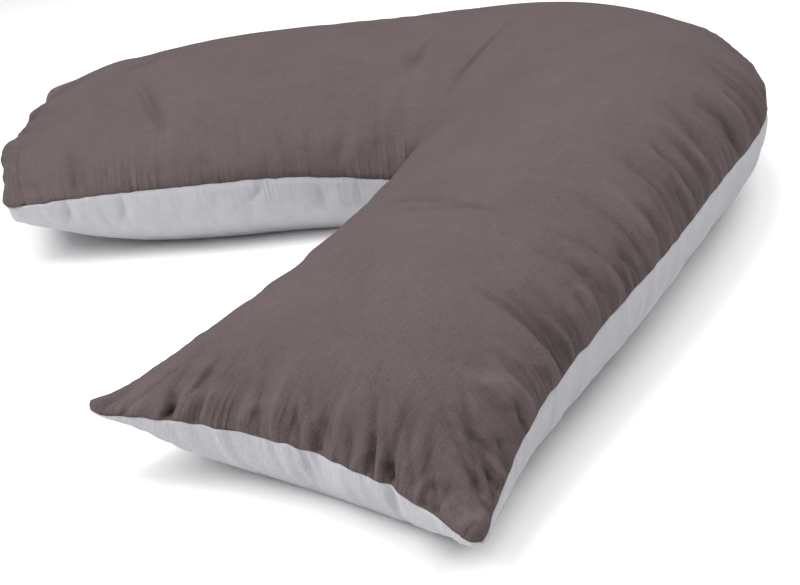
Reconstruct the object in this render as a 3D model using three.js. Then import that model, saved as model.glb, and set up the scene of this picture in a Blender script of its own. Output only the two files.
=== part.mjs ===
// A V-shaped pillow: two long arms that meet at a broad apex, filled, with a taupe cloth on top
// and a pale grey cloth underneath, joined by one plain seam all round.
// Millimetres, +Z up. The middle line of the V runs along Y with the apex towards +Y. The near
// arm is on the +X side. The far arm is on the -X side, and its end is the cover's hemmed mouth.
//
// A place on the pillow is given by its way and its across. The way runs round the V: from -1 at
// the near arm's end to 0 at its shoulder, 1 on the middle line, 2 at the far arm's shoulder and
// 3 at the far arm's end. The across runs from 0 on the inner seam to 1 on the outer seam.

import * as THREE from 'three';
import { mergeVertices } from 'three/addons/utils/BufferGeometryUtils.js';

// Driving dimensions
const ARM_WIDTH = 320; // across a filled arm, seam to seam
const HALF_ANGLE = THREE.MathUtils.degToRad(30); // between an arm and the middle line
const APEX_REACH = 0.16; // extra reach of the outer seam at the apex, share of the arm width
const APEX_SEAM = 73; // height of the outer seam at the apex
const APEX_CROWN = 98; // rise of the top cloth above the seams at the apex
const BELLY = 106; // depth of the underside below the seams, before the floor flattens it
const CROWN_POWER = 2; // exponent of the curve across the top
const BELLY_POWER = 2.3; // exponent of the curve across the underside
const FLOOR_EASE = 4; // height over which the underside rolls off the floor
const PANEL_GAP = 0.3; // between the two panels along the seam
const TIP_ROUND = 8; // how far each tip is rounded back
const TIP_POWER = 12; // exponent that keeps the rounding close to the tips
const HEM_WIDTH = 17; // hem along the far arm's mouth, turned under and stitched
const HEM_RAISE = 2; // how far the doubled cloth of the hem stands up
const HEM_ACROSS = 0.44; // the hem shows from the inner tip to this share of the mouth
const HEM_FADE = 0.02; // share of the mouth over which the hem sinks back into the cloth
const NOTCH_POWER = 8; // exponent that keeps the notches close to an end seam
const SEAM_EASE = 9; // height beside a seam over which the folds come up
const FOLD_SAMPLES = 9; // points laid along each fold
const WELD = 0.001; // points closer than this are one point

// Mesh density
const NEAR_ARM_STEPS = 44;
const NEAR_APEX_STEPS = 18;
const FAR_APEX_STEPS = 12;
const FAR_ARM_STEPS = 30;
const END_CROWDING = 1.35; // exponent that draws the cross-sections together at an arm's end
const TOP_COLUMNS = 36;
const UNDERSIDE_COLUMNS = 18;
const SHEET_COLUMNS = 6;
const SHEET_END_ROWS = 6; // rows of the seam sheet at each end that follow the notches
const SEAM_CROWDING = 0.6; // how strongly the columns draw together beside the seams

// The arms. In sections, along is the share of the arm's length from the inner corner, innerBow
// and outerBow are how far the seams bow sideways, innerSeam and outerSeam are the heights of the
// seams, crown is the rise of the top above them, and belly is the share of the full depth below.
const NEAR_ARM = {
  side: 1,
  length: 432, // along the inner seam, from the inner corner to the tip
  outerExtra: -14, // how much further along the outer tip lies than the inner one
  lean: 0.15, // sideways shift of the crown's highest line, share of the half width
  endSag: 33, // how far the middle of the end seam is drawn in
  crownClose: 95, // length over which the top rounds down to the end seam
  bellyClose: 70, // the same for the underside
  sections: [
    { along: 0.0, innerBow: 0, outerBow: 0, innerSeam: 62, outerSeam: 100, crown: 96, belly: 1.0 },
    { along: 0.25, innerBow: -12, outerBow: 0, innerSeam: 57, outerSeam: 93, crown: 87, belly: 1.0 },
    { along: 0.5, innerBow: -19, outerBow: -5, innerSeam: 61, outerSeam: 88, crown: 80, belly: 0.98 },
    { along: 0.75, innerBow: -13, outerBow: -9, innerSeam: 69, outerSeam: 74, crown: 66, belly: 0.88 },
    { along: 1.0, innerBow: 18, outerBow: 0, innerSeam: 77, outerSeam: 47, crown: 38, belly: 0.64 },
  ],
  notches: [
    { across: 0.21, width: 0.02, depth: 2 },
    { across: 0.57, width: 0.02, depth: 2 },
    { across: 0.765, width: 0.02, depth: 4 },
    { across: 0.88, width: 0.02, depth: 2 },
  ],
};

const FAR_ARM = {
  side: -1,
  length: 426,
  outerExtra: 10,
  lean: 0.24,
  endSag: -28,
  crownClose: 140,
  bellyClose: 25,
  sections: [
    { along: 0.0, innerBow: 0, outerBow: -2, innerSeam: 62, outerSeam: 60, crown: 98, belly: 1.0 },
    { along: 0.25, innerBow: 2, outerBow: -4, innerSeam: 82, outerSeam: 60, crown: 98, belly: 1.0 },
    { along: 0.5, innerBow: 2, outerBow: -5, innerSeam: 86, outerSeam: 64, crown: 94, belly: 1.0 },
    { along: 0.75, innerBow: -7, outerBow: 2, innerSeam: 84, outerSeam: 75, crown: 76, belly: 0.92 },
    { along: 1.0, innerBow: -15, outerBow: 10, innerSeam: 79, outerSeam: 89, crown: 60, belly: 0.55 },
  ],
  notches: [
    { across: 0.45, width: 0.025, depth: 3 },
    { across: 0.56, width: 0.025, depth: 3 },
    { across: 0.74, width: 0.03, depth: 4 },
  ],
};

// Puckers that run in from the near arm's end seam. Each fold goes from its seam end to its inner
// end and dies out there. width is its half width, and rise is its height, below 0 for a trough.
const END_PUCKERS = [
  { way: -1.0, across: 0.065, toWay: -0.86, toAcross: 0.14, width: 10, rise: 6 },
  { way: -1.0, across: 0.185, toWay: -0.87, toAcross: 0.14, width: 8, rise: 5 },
  { way: -1.0, across: 0.21, toWay: -0.955, toAcross: 0.205, width: 8, rise: -11 },
  { way: -0.975, across: 0.23, toWay: -0.915, toAcross: 0.25, width: 7, rise: -5 },
  { way: -1.0, across: 0.255, toWay: -0.9, toAcross: 0.28, width: 7, rise: 6 },
  { way: -1.0, across: 0.355, toWay: -0.965, toAcross: 0.36, width: 7, rise: -6 },
  { way: -1.0, across: 0.385, toWay: -0.95, toAcross: 0.39, width: 8, rise: 3 },
  { way: -1.0, across: 0.48, toWay: -0.95, toAcross: 0.46, width: 8, rise: 3 },
  { way: -1.0, across: 0.53, toWay: -0.96, toAcross: 0.51, width: 7, rise: -5 },
  { way: -1.0, across: 0.56, toWay: -0.94, toAcross: 0.52, width: 6, rise: 8 },
  { way: -1.0, across: 0.66, toWay: -0.955, toAcross: 0.65, width: 9, rise: -6 },
  { way: -1.0, across: 0.7, toWay: -0.94, toAcross: 0.69, width: 6, rise: 5 },
  { way: -1.0, across: 0.725, toWay: -0.9, toAcross: 0.695, width: 7, rise: -10 },
  { way: -1.0, across: 0.75, toWay: -0.91, toAcross: 0.71, width: 6, rise: 5 },
  { way: -1.0, across: 0.765, toWay: -0.985, toAcross: 0.75, width: 6, rise: -10 },
  { way: -0.955, across: 0.795, toWay: -0.895, toAcross: 0.78, width: 8, rise: -6 },
  { way: -1.0, across: 0.815, toWay: -0.94, toAcross: 0.77, width: 7, rise: 6 },
  { way: -1.0, across: 0.88, toWay: -0.95, toAcross: 0.86, width: 7, rise: -6 },
  { way: -0.955, across: 0.935, toWay: -0.875, toAcross: 0.845, width: 8, rise: -6 },
  { way: -0.96, across: 0.96, toWay: -0.87, toAcross: 0.88, width: 8, rise: 6 },
  { way: -0.91, across: 0.95, toWay: -0.865, toAcross: 0.89, width: 8, rise: -6 },
  { way: -1.0, across: 0.96, toWay: -0.985, toAcross: 0.99, width: 6, rise: -6 },
];

// Puckers that run in from the outer seam, from the front corner up the near arm and round the
// apex, where the last two are a tuck and the cloth that hangs over it.
const OUTER_PUCKERS = [
  { way: -0.945, across: 1, toWay: -0.945, toAcross: 0.98, width: 6, rise: -6 },
  { way: -0.94, across: 1, toWay: -0.885, toAcross: 0.915, width: 7, rise: 4 },
  { way: -0.925, across: 1, toWay: -0.915, toAcross: 0.98, width: 6, rise: -6 },
  { way: -0.885, across: 1, toWay: -0.865, toAcross: 0.965, width: 7, rise: 5 },
  { way: -0.865, across: 1, toWay: -0.85, toAcross: 0.975, width: 7, rise: -5 },
  { way: -0.81, across: 1, toWay: -0.795, toAcross: 0.98, width: 8, rise: 4 },
  { way: -0.79, across: 1, toWay: -0.775, toAcross: 0.965, width: 7, rise: -5 },
  { way: -0.765, across: 1, toWay: -0.775, toAcross: 0.9, width: 8, rise: 5 },
  { way: -0.735, across: 1, toWay: -0.725, toAcross: 0.925, width: 8, rise: 4 },
  { way: -0.68, across: 1, toWay: -0.675, toAcross: 0.825, width: 10, rise: 6 },
  { way: -0.65, across: 1, toWay: -0.655, toAcross: 0.87, width: 9, rise: -6 },
  { way: -0.62, across: 1, toWay: -0.645, toAcross: 0.9, width: 9, rise: 4 },
  { way: -0.525, across: 1, toWay: -0.515, toAcross: 0.95, width: 10, rise: 4 },
  { way: -0.455, across: 1, toWay: -0.485, toAcross: 0.88, width: 12, rise: 6 },
  { way: -0.42, across: 1, toWay: -0.45, toAcross: 0.895, width: 10, rise: -6 },
  { way: -0.29, across: 1, toWay: -0.3, toAcross: 0.95, width: 11, rise: 4 },
  { way: -0.16, across: 1, toWay: -0.115, toAcross: 0.885, width: 11, rise: -6 },
  { way: -0.095, across: 1, toWay: -0.1, toAcross: 0.92, width: 11, rise: 5 },
  { way: -0.035, across: 1, toWay: -0.05, toAcross: 0.96, width: 10, rise: 4 },
  { way: 0.155, across: 1, toWay: 0.105, toAcross: 0.97, width: 12, rise: -5 },
  { way: 0.305, across: 1, toWay: 0.3, toAcross: 0.94, width: 12, rise: 5 },
  { way: 0.35, across: 1, toWay: 0.34, toAcross: 0.94, width: 10, rise: -5 },
  { way: 0.39, across: 1, toWay: 0.385, toAcross: 0.935, width: 12, rise: 5 },
  { way: 0.5, across: 1, toWay: 0.56, toAcross: 0.92, width: 14, rise: -9 },
  { way: 0.58, across: 1, toWay: 0.66, toAcross: 0.93, width: 18, rise: 8 },
];

// Puckers that run in from the far arm's inner seam and from its mouth.
const FAR_PUCKERS = [
  { way: 2.73, across: 0, toWay: 2.715, toAcross: 0.05, width: 8, rise: -3 },
  { way: 2.785, across: 0, toWay: 2.785, toAcross: 0.1, width: 8, rise: -3 },
  { way: 2.81, across: 0, toWay: 2.81, toAcross: 0.135, width: 8, rise: -4 },
  { way: 3.0, across: 0.45, toWay: 2.92, toAcross: 0.36, width: 8, rise: -4 },
  { way: 3.0, across: 0.56, toWay: 2.89, toAcross: 0.44, width: 9, rise: -4 },
  { way: 3.0, across: 0.74, toWay: 2.88, toAcross: 0.6, width: 11, rise: -4 },
  { way: 3.0, across: 0.5, toWay: 2.9, toAcross: 0.4, width: 9, rise: 3 },
  { way: 3.0, across: 0.65, toWay: 2.89, toAcross: 0.52, width: 11, rise: 4 },
];

// Creases of the crown, clear of the seams, which die out at both ends.
const CROWN_CREASES = [
  { way: 1.21, across: 0.14, toWay: 1.325, toAcross: 0.43, width: 9, rise: -6 },
  { way: 1.3, across: 0.16, toWay: 1.4, toAcross: 0.44, width: 14, rise: 3 },
  { way: 1.93, across: 0.28, toWay: 1.82, toAcross: 0.43, width: 9, rise: -4 },
  { way: 2.0, across: 0.3, toWay: 1.915, toAcross: 0.43, width: 11, rise: 3 },
  { way: 2.02, across: 0.05, toWay: 1.97, toAcross: 0.27, width: 12, rise: 3 },
  { way: -0.105, across: 0.16, toWay: -0.105, toAcross: 0.24, width: 8, rise: 2 },
  { way: -0.37, across: 0.24, toWay: -0.415, toAcross: 0.58, width: 16, rise: 3 },
  { way: -0.46, across: 0.34, toWay: -0.46, toAcross: 0.62, width: 15, rise: -2 },
  { way: 2.56, across: 0.1, toWay: 2.625, toAcross: 0.32, width: 9, rise: -6 },
  { way: 2.59, across: 0.1, toWay: 2.665, toAcross: 0.32, width: 10, rise: 4 },
  { way: 2.625, across: 0.07, toWay: 2.685, toAcross: 0.27, width: 9, rise: -3 },
  { way: 2.64, across: 0.62, toWay: 2.69, toAcross: 0.55, width: 14, rise: -5 },
  { way: 2.71, across: 0.59, toWay: 2.81, toAcross: 0.67, width: 16, rise: 6 },
  { way: 2.74, across: 0.56, toWay: 2.775, toAcross: 0.4, width: 12, rise: 3 },
  { way: 2.78, across: 0.33, toWay: 2.9, toAcross: 0.27, width: 9, rise: 3 },
  { way: 2.815, across: 0.35, toWay: 2.91, toAcross: 0.34, width: 9, rise: -3 },
];

// Puckers of the underside, which run down from the seam.
const UNDERSIDE_PUCKERS = [
  { way: -1.0, across: 0.54, toWay: -0.96, toAcross: 0.53, width: 8, rise: -4 },
  { way: -1.0, across: 0.765, toWay: -0.97, toAcross: 0.75, width: 8, rise: -3 },
  { way: 2.12, across: 0, toWay: 2.125, toAcross: 0.03, width: 10, rise: -2 },
  { way: 2.205, across: 0, toWay: 2.21, toAcross: 0.03, width: 10, rise: -2 },
  { way: 2.34, across: 0, toWay: 2.415, toAcross: 0.02, width: 11, rise: -3 },
  { way: 2.69, across: 0, toWay: 2.72, toAcross: 0.04, width: 9, rise: -3 },
  { way: 2.84, across: 0, toWay: 2.86, toAcross: 0.06, width: 9, rise: -4 },
];

const { clamp, lerp, smoothstep } = THREE.MathUtils;

/** A smooth curve through one column of an arm's sections. */
function columnCurve(sections, column) {
  const places = sections.map((row) => row.along);
  const values = sections.map((row) => row[column]);
  const curve = new THREE.CubicInterpolant(places, values, 1, new Float64Array(1));
  return (along) => curve.evaluate(along)[0];
}

/** Quarter-round factor that falls from 1 to 0 over the last length before an end. */
function closing(distance, length) {
  return distance >= length ? 1 : Math.sqrt(1 - (1 - distance / length) ** 2);
}

/** Returns a function that gives the cross-section of an arm at a share of its length. */
function armSections(arm) {
  const heading = new THREE.Vector2(arm.side * Math.sin(HALF_ANGLE), -Math.cos(HALF_ANGLE));
  const outwards = new THREE.Vector2(arm.side * Math.cos(HALF_ANGLE), Math.sin(HALF_ANGLE));
  const columns = Object.keys(arm.sections[0]).filter((name) => name !== 'along');
  const curves = Object.fromEntries(columns.map((name) => [name, columnCurve(arm.sections, name)]));
  return (along) => {
    const reach = along * arm.length;
    const inner = heading.clone().multiplyScalar(reach);
    inner.addScaledVector(outwards, -curves.innerBow(along));
    const outer = heading.clone().multiplyScalar(reach + arm.outerExtra * along ** 2);
    outer.addScaledVector(outwards, ARM_WIDTH + curves.outerBow(along));
    return {
      inner,
      outer,
      heading,
      innerSeam: curves.innerSeam(along),
      outerSeam: curves.outerSeam(along),
      crown: curves.crown(along) * closing(arm.length - reach, arm.crownClose),
      belly: BELLY * curves.belly(along) * closing(arm.length - reach, arm.bellyClose),
      lean: arm.lean,
      endShare: clamp(2 * along - 1, 0, 1) ** 2,
      endSag: arm.endSag,
      notches: arm.notches,
      hemmed: arm === FAR_ARM && arm.length - reach < HEM_WIDTH,
    };
  };
}

/** The cross-section of the apex, where turn is 0 at an arm's shoulder and 1 on the middle line. */
function apexSection(arm, turn) {
  const angle = HALF_ANGLE + turn * (Math.PI / 2 - HALF_ANGLE);
  const ease = (1 - Math.cos(Math.PI * turn)) / 2;
  const shoulder = arm.sections[0];
  const reach = (ARM_WIDTH + shoulder.outerBow) * (1 + APEX_REACH * ease);
  return {
    inner: new THREE.Vector2(0, 0),
    outer: new THREE.Vector2(arm.side * reach * Math.cos(angle), reach * Math.sin(angle)),
    heading: new THREE.Vector2(0, 0),
    innerSeam: shoulder.innerSeam,
    outerSeam: lerp(shoulder.outerSeam, APEX_SEAM, ease),
    crown: lerp(shoulder.crown, APEX_CROWN, ease),
    belly: BELLY,
    lean: arm.lean * (1 - turn),
    endShare: 0,
    endSag: 0,
    notches: [],
    hemmed: false,
  };
}

const nearSection = armSections(NEAR_ARM);
const farSection = armSections(FAR_ARM);

/** The cross-section at a way round the pillow. */
function sectionAt(way) {
  if (way <= 0) return nearSection(-way);
  if (way >= 2) return farSection(way - 2);
  return way <= 1 ? apexSection(NEAR_ARM, way) : apexSection(FAR_ARM, 2 - way);
}

/** The ways at which the cross-sections are taken, closer together at the ends of the arms. */
function sectionWays() {
  const crowded = (share) => 1 - (1 - share) ** END_CROWDING;
  const ways = [];
  for (let i = NEAR_ARM_STEPS; i > 0; i--) ways.push(-crowded(i / NEAR_ARM_STEPS));
  for (let i = 0; i < NEAR_APEX_STEPS; i++) ways.push(i / NEAR_APEX_STEPS);
  for (let i = 0; i < FAR_APEX_STEPS; i++) ways.push(1 + i / FAR_APEX_STEPS);
  for (let i = 0; i <= FAR_ARM_STEPS; i++) ways.push(2 + crowded(i / FAR_ARM_STEPS));
  return ways;
}

/** Places across an arm, closer together beside the seams. */
function columnPlaces(count) {
  const places = [];
  for (let i = 0; i <= count; i++) {
    const even = i / count;
    places.push(lerp(even, (1 - Math.cos(Math.PI * even)) / 2, SEAM_CROWDING));
  }
  return places;
}

/** How far the end seam is pulled in by its notches. */
function notchDepth(section, across) {
  const pull = (notch) => notch.depth * Math.exp(-(((across - notch.across) / notch.width) ** 2));
  return section.notches.reduce((sum, notch) => sum + pull(notch), 0) * section.endShare ** NOTCH_POWER;
}

/** Point of the curved sheet in which the seam lies. */
function seamPoint(section, across) {
  const u = 2 * across - 1;
  const drawnIn = section.endSag * (1 - u * u) + TIP_ROUND * Math.abs(u) ** TIP_POWER;
  const plan = section.inner.clone().lerp(section.outer, across);
  plan.addScaledVector(section.heading, -drawnIn * section.endShare - notchDepth(section, across));
  return new THREE.Vector3(plan.x, plan.y, lerp(section.innerSeam, section.outerSeam, across));
}

/** Height of the crowned top above the seam sheet. */
function crownRise(section, across) {
  const u = 2 * across - 1;
  const leaning = Math.abs(u - section.lean * (1 - u * u));
  return section.crown * Math.sqrt(Math.max(0, 1 - leaning ** CROWN_POWER));
}

/** Depth of the underside below the seam sheet, before it meets the floor. */
function bellyDepth(section, across) {
  const u = Math.abs(2 * across - 1);
  return section.belly * Math.sqrt(Math.max(0, 1 - u ** BELLY_POWER));
}

/** Flattens a height on the floor with a short smooth roll. */
function onFloor(height) {
  if (height >= FLOOR_EASE) return height;
  return height <= -FLOOR_EASE ? 0 : (height + FLOOR_EASE) ** 2 / (4 * FLOOR_EASE);
}

/** Point of the smooth top, with the height over the seam that lets its folds come up. */
function topPoint(section, across) {
  const rise = crownRise(section, across);
  const point = seamPoint(section, across);
  point.z += PANEL_GAP / 2 + rise;
  return { point, free: clamp(rise / SEAM_EASE, 0, 1) };
}

/** Point of the smooth underside, whose folds stop at the seam and at the floor. */
function undersidePoint(section, across) {
  const depth = bellyDepth(section, across);
  const point = seamPoint(section, across);
  const loose = point.z - PANEL_GAP / 2 - depth;
  point.z = depth > 0 ? onFloor(loose) : loose;
  return { point, free: clamp(depth / SEAM_EASE, 0, 1) * clamp(point.z / SEAM_EASE - 1, 0, 1) };
}

/** A fold as a line of points laid on a surface. */
function layFold(fold, surface, fromSeam) {
  const line = [];
  for (let i = 0; i < FOLD_SAMPLES; i++) {
    const share = i / (FOLD_SAMPLES - 1);
    const section = sectionAt(lerp(fold.way, fold.toWay, share));
    line.push(surface(section, lerp(fold.across, fold.toAcross, share)).point);
  }
  return { ...fold, line, fromSeam };
}

/** Lift that one fold gives to a point: a soft ridge or trough along the fold's line. */
function foldLift(fold, point) {
  const nearest = new THREE.Vector3();
  let best = { distance: Infinity, share: 0 };
  for (let i = 1; i < fold.line.length; i++) {
    const stretch = new THREE.Line3(fold.line[i - 1], fold.line[i]);
    const part = stretch.closestPointToPointParameter(point, true);
    const distance = stretch.at(part, nearest).distanceTo(point);
    if (distance < best.distance) best = { distance, share: (i - 1 + part) / (fold.line.length - 1) };
  }
  const fade = fold.fromSeam ? 1 - best.share ** 2 : Math.sin(Math.PI * best.share);
  return fold.rise * fade * Math.exp(-((best.distance / fold.width) ** 2));
}

/** Lift of the doubled cloth beside the far arm's mouth. */
function hemLift(section, across) {
  if (!section.hemmed) return 0;
  return HEM_RAISE * (1 - smoothstep(across, HEM_ACROSS - HEM_FADE, HEM_ACROSS));
}

/** Direction out of the surface at one point of a grid. */
function gridNormal(grid, r, c, upwards) {
  const [lastRow, lastColumn] = [grid.length - 1, grid[0].length - 1];
  const at = (row, column) => grid[clamp(row, 0, lastRow)][clamp(column, 0, lastColumn)].point;
  const alongWay = at(r + 1, c).clone().sub(at(r - 1, c));
  const alongAcross = at(r, c + 1).clone().sub(at(r, c - 1));
  const normal = alongWay.cross(alongAcross).normalize();
  return normal.z * upwards < 0 ? normal.negate() : normal;
}

/** Points of a panel's outer face, a row for each cross-section, with the folds raised in them. */
function facePoints(surface, sections, columns, folds, upwards, extraLift) {
  const places = columnPlaces(columns);
  const grid = sections.map((section) => places.map((across) => surface(section, across)));
  return grid.map((row, r) => row.map(({ point, free }, c) => {
    const lifts = folds.reduce((sum, fold) => sum + foldLift(fold, point), 0);
    const lift = free * (lifts + extraLift(sections[r], places[c]));
    return point.clone().addScaledVector(gridNormal(grid, r, c, upwards), lift);
  }));
}

/** Points of the curved sheet between the panels, where both have their inner faces. */
function sheetPoints(sections, offset) {
  const lifted = new THREE.Vector3(0, 0, offset);
  return sections.map((section, r) => {
    const byTheEnd = Math.min(r, sections.length - 1 - r) < SHEET_END_ROWS;
    const places = columnPlaces(byTheEnd ? TOP_COLUMNS : SHEET_COLUMNS);
    return places.map((across) => seamPoint(section, across).add(lifted));
  });
}

/** Triangles between two neighbouring rows, which may have different numbers of points. */
function stripTriangles(rowA, rowB) {
  const triangles = [];
  const [lastA, lastB] = [rowA.length - 1, rowB.length - 1];
  let [a, b] = [0, 0];
  while (a < lastA || b < lastB) {
    if (b === lastB || (a < lastA && (a + 1) * lastB <= (b + 1) * lastA)) {
      triangles.push([rowA[a], rowB[b], rowA[a + 1]]);
      a += 1;
    } else {
      triangles.push([rowA[a], rowB[b], rowB[b + 1]]);
      b += 1;
    }
  }
  return triangles;
}

/** Triangles between all the rows of a face. */
function faceTriangles(rows) {
  return rows.slice(1).flatMap((row, r) => stripTriangles(rows[r], row));
}

/** Turns triangles over. */
function flipped(triangles) {
  return triangles.map(([a, b, c]) => [a, c, b]);
}

/** A closed geometry from triangles, without those that collapse at the inner corner. */
function closedGeometry(triangles) {
  const merged = mergeVertices(new THREE.BufferGeometry().setFromPoints(triangles.flat()), WELD);
  const corners = merged.getIndex().array;
  const kept = [];
  for (let i = 0; i < corners.length; i += 3) {
    const [a, b, c] = corners.slice(i, i + 3);
    if (a !== b && b !== c && c !== a) kept.push(a, b, c);
  }
  merged.setIndex(kept);
  return merged;
}

/**
 * A closed panel between an outer face and the seam sheet, joined along the seams. The sheet's
 * rows run the other way, which turns it over and keeps a tip's last triangle out of both faces.
 */
function panelGeometry(face, sheet, upwards) {
  const outside = faceTriangles([sheet[0], ...face.slice(1, -1), sheet[sheet.length - 1]]);
  const inside = faceTriangles([...sheet].reverse());
  const triangles = [...outside, ...inside];
  return closedGeometry(upwards > 0 ? flipped(triangles) : triangles);
}

const sections = sectionWays().map(sectionAt);
const noLift = () => 0;

/** The taupe top with its crown, puckers, creases and hem. */
function topPanelGeometry() {
  const folds = [
    ...[END_PUCKERS, OUTER_PUCKERS, FAR_PUCKERS].flat().map((fold) => layFold(fold, topPoint, true)),
    ...CROWN_CREASES.map((fold) => layFold(fold, topPoint, false)),
  ];
  const face = facePoints(topPoint, sections, TOP_COLUMNS, folds, 1, hemLift);
  return panelGeometry(face, sheetPoints(sections, PANEL_GAP / 2), 1);
}

/** The grey underside with its belly, puckers and flat rest on the floor. */
function undersidePanelGeometry() {
  const folds = UNDERSIDE_PUCKERS.map((fold) => layFold(fold, undersidePoint, true));
  const face = facePoints(undersidePoint, sections, UNDERSIDE_COLUMNS, folds, -1, noLift);
  return panelGeometry(face, sheetPoints(sections, -PANEL_GAP / 2), -1);
}

/** A named mesh of a panel in its cloth. */
function panelMesh(name, geometry, cloth) {
  geometry.computeVertexNormals();
  const mesh = new THREE.Mesh(geometry, cloth);
  mesh.name = name;
  return mesh;
}

const taupeCotton = new THREE.MeshStandardMaterial({ color: '#6c6063', roughness: 0.9, metalness: 0 });
const greyCotton = new THREE.MeshStandardMaterial({ color: '#bdbdc5', roughness: 0.9, metalness: 0 });

const topPanel = panelMesh('top_panel', topPanelGeometry(), taupeCotton);
const undersidePanel = panelMesh('underside_panel', undersidePanelGeometry(), greyCotton);

// The origin is on the floor, below the middle of the pillow's box.
const box = new THREE.Box3().setFromObject(topPanel).union(new THREE.Box3().setFromObject(undersidePanel));
const middle = box.getCenter(new THREE.Vector3());
const pillow = new THREE.Group();
pillow.position.set(-middle.x, -middle.y, -box.min.z);
pillow.add(topPanel, undersidePanel);
export default pillow;
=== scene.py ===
# A V-shaped pillow: one filled body in two cotton cloths, taupe above and pale grey below.
#
# A place on the pillow is given by its way and its across. The way runs round the V, from -1 at
# the near arm's end to 0 at its shoulder, 1 on the middle line, 2 at the far arm's shoulder and 3
# at the far arm's end. The across runs from 0 on the inner seam to 1 on the outer seam. The form
# is worked out in millimetres about the inner corner, and the meshes are in metres.
import logging
import math
from dataclasses import dataclass, field, fields, replace
from enum import Enum
from typing import ClassVar

import bpy
import numpy as np
from mathutils import Matrix, Vector
from mathutils.bvhtree import BVHTree
from mathutils.kdtree import KDTree


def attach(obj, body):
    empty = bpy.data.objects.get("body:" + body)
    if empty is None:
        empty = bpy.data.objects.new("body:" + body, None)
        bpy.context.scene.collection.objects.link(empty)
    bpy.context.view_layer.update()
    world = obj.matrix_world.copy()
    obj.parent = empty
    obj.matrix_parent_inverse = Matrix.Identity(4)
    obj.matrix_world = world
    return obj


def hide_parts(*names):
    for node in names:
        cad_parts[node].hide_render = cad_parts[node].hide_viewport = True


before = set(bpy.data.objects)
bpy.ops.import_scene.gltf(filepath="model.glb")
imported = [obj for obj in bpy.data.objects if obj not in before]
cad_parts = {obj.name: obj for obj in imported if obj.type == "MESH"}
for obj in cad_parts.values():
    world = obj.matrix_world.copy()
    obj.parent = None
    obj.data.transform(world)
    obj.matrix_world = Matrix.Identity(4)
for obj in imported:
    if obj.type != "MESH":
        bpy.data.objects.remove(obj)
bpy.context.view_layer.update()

MILLIMETRE = 0.001
BODY = "root"
NUMBER, VECTOR = "NodeSocketFloat", "NodeSocketVector"
INNER_CORNER = (0.0088301, 0.0024974, 0.0)  # where the form's own origin lies in the part's frame
WELD = 0.05  # millimetres within which points are one
NO_END = 1e6  # distance to the end for a section that isn't on an arm

log = logging.getLogger("pillow")

# Folds, nearly all as in the solids. Each goes from its seam end (way, across) to its inner end
# (to way, to across). width is its half width and rise its height, below 0 for a trough, both in
# millimetres. FoldStyle says how shallow they are drawn.
# Columns: way, across, to way, to across, width, rise.
END_PUCKERS = (
    (-1.0, 0.065, -0.86, 0.14, 10, 6),
    (-1.0, 0.185, -0.87, 0.14, 8, 5),
    (-1.0, 0.21, -0.955, 0.205, 8, -11),
    (-0.975, 0.23, -0.915, 0.25, 7, -5),
    (-1.0, 0.255, -0.9, 0.28, 7, 6),
    (-1.0, 0.355, -0.965, 0.36, 7, -6),
    (-1.0, 0.385, -0.95, 0.39, 8, 3),
    (-1.0, 0.48, -0.95, 0.46, 8, 3),
    (-1.0, 0.53, -0.96, 0.51, 7, -5),
    (-1.0, 0.56, -0.94, 0.52, 6, 8),
    (-1.0, 0.66, -0.955, 0.65, 9, -6),
    (-1.0, 0.7, -0.94, 0.69, 6, 5),
    (-1.0, 0.725, -0.9, 0.695, 7, -10),
    (-1.0, 0.75, -0.91, 0.71, 6, 5),
    (-1.0, 0.765, -0.985, 0.75, 6, -10),
    (-0.955, 0.795, -0.895, 0.78, 8, -2),
    (-1.0, 0.815, -0.94, 0.77, 7, 6),
    (-1.0, 0.88, -0.95, 0.86, 7, -6),
    (-0.955, 1, -0.875, 0.845, 8, -6),
    (-0.96, 0.96, -0.87, 0.88, 8, 6),
    (-0.91, 1, -0.865, 0.89, 8, -6),
    (-1.0, 0.96, -0.985, 0.99, 4, -2),
)
OUTER_PUCKERS = (
    (-0.945, 1, -0.945, 0.98, 6, -6),
    (-0.94, 1, -0.885, 0.915, 7, 4),
    (-0.925, 1, -0.915, 0.98, 6, -6),
    (-0.885, 1, -0.865, 0.965, 7, 5),
    (-0.865, 1, -0.85, 0.975, 7, -5),
    (-0.81, 1, -0.795, 0.98, 8, 4),
    (-0.79, 1, -0.775, 0.965, 7, -5),
    (-0.765, 1, -0.775, 0.9, 8, 5),
    (-0.735, 1, -0.725, 0.925, 8, 4),
    (-0.68, 1, -0.675, 0.825, 10, 6),
    (-0.65, 1, -0.655, 0.87, 9, -6),
    (-0.62, 1, -0.645, 0.9, 9, 4),
    (-0.525, 1, -0.515, 0.95, 10, 4),
    (-0.455, 1, -0.485, 0.88, 12, 6),
    (-0.42, 1, -0.45, 0.895, 10, -6),
    (-0.29, 1, -0.3, 0.95, 11, 4),
    (-0.16, 1, -0.115, 0.885, 11, -6),
    (-0.095, 1, -0.1, 0.92, 11, 5),
    (-0.035, 1, -0.05, 0.96, 10, 4),
    (0.155, 1, 0.105, 0.97, 12, -5),
    (0.305, 1, 0.3, 0.94, 12, 5),
    (0.35, 1, 0.34, 0.94, 10, -5),
    (0.39, 1, 0.385, 0.935, 12, 5),
    (0.5, 1, 0.56, 0.92, 14, -9),
    (0.58, 1, 0.66, 0.93, 18, 8),
)
FAR_PUCKERS = (
    (2.73, 0, 2.715, 0.05, 8, -3),
    (2.785, 0, 2.785, 0.1, 8, -3),
    (2.81, 0, 2.81, 0.135, 8, -4),
    (3.0, 0.45, 2.92, 0.36, 8, -4),
    (3.0, 0.56, 2.89, 0.44, 9, -4),
    (3.0, 0.74, 2.88, 0.6, 11, -4),
    (3.0, 0.5, 2.9, 0.4, 9, 3),
    (3.0, 0.65, 2.89, 0.52, 11, 4),
)
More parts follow.
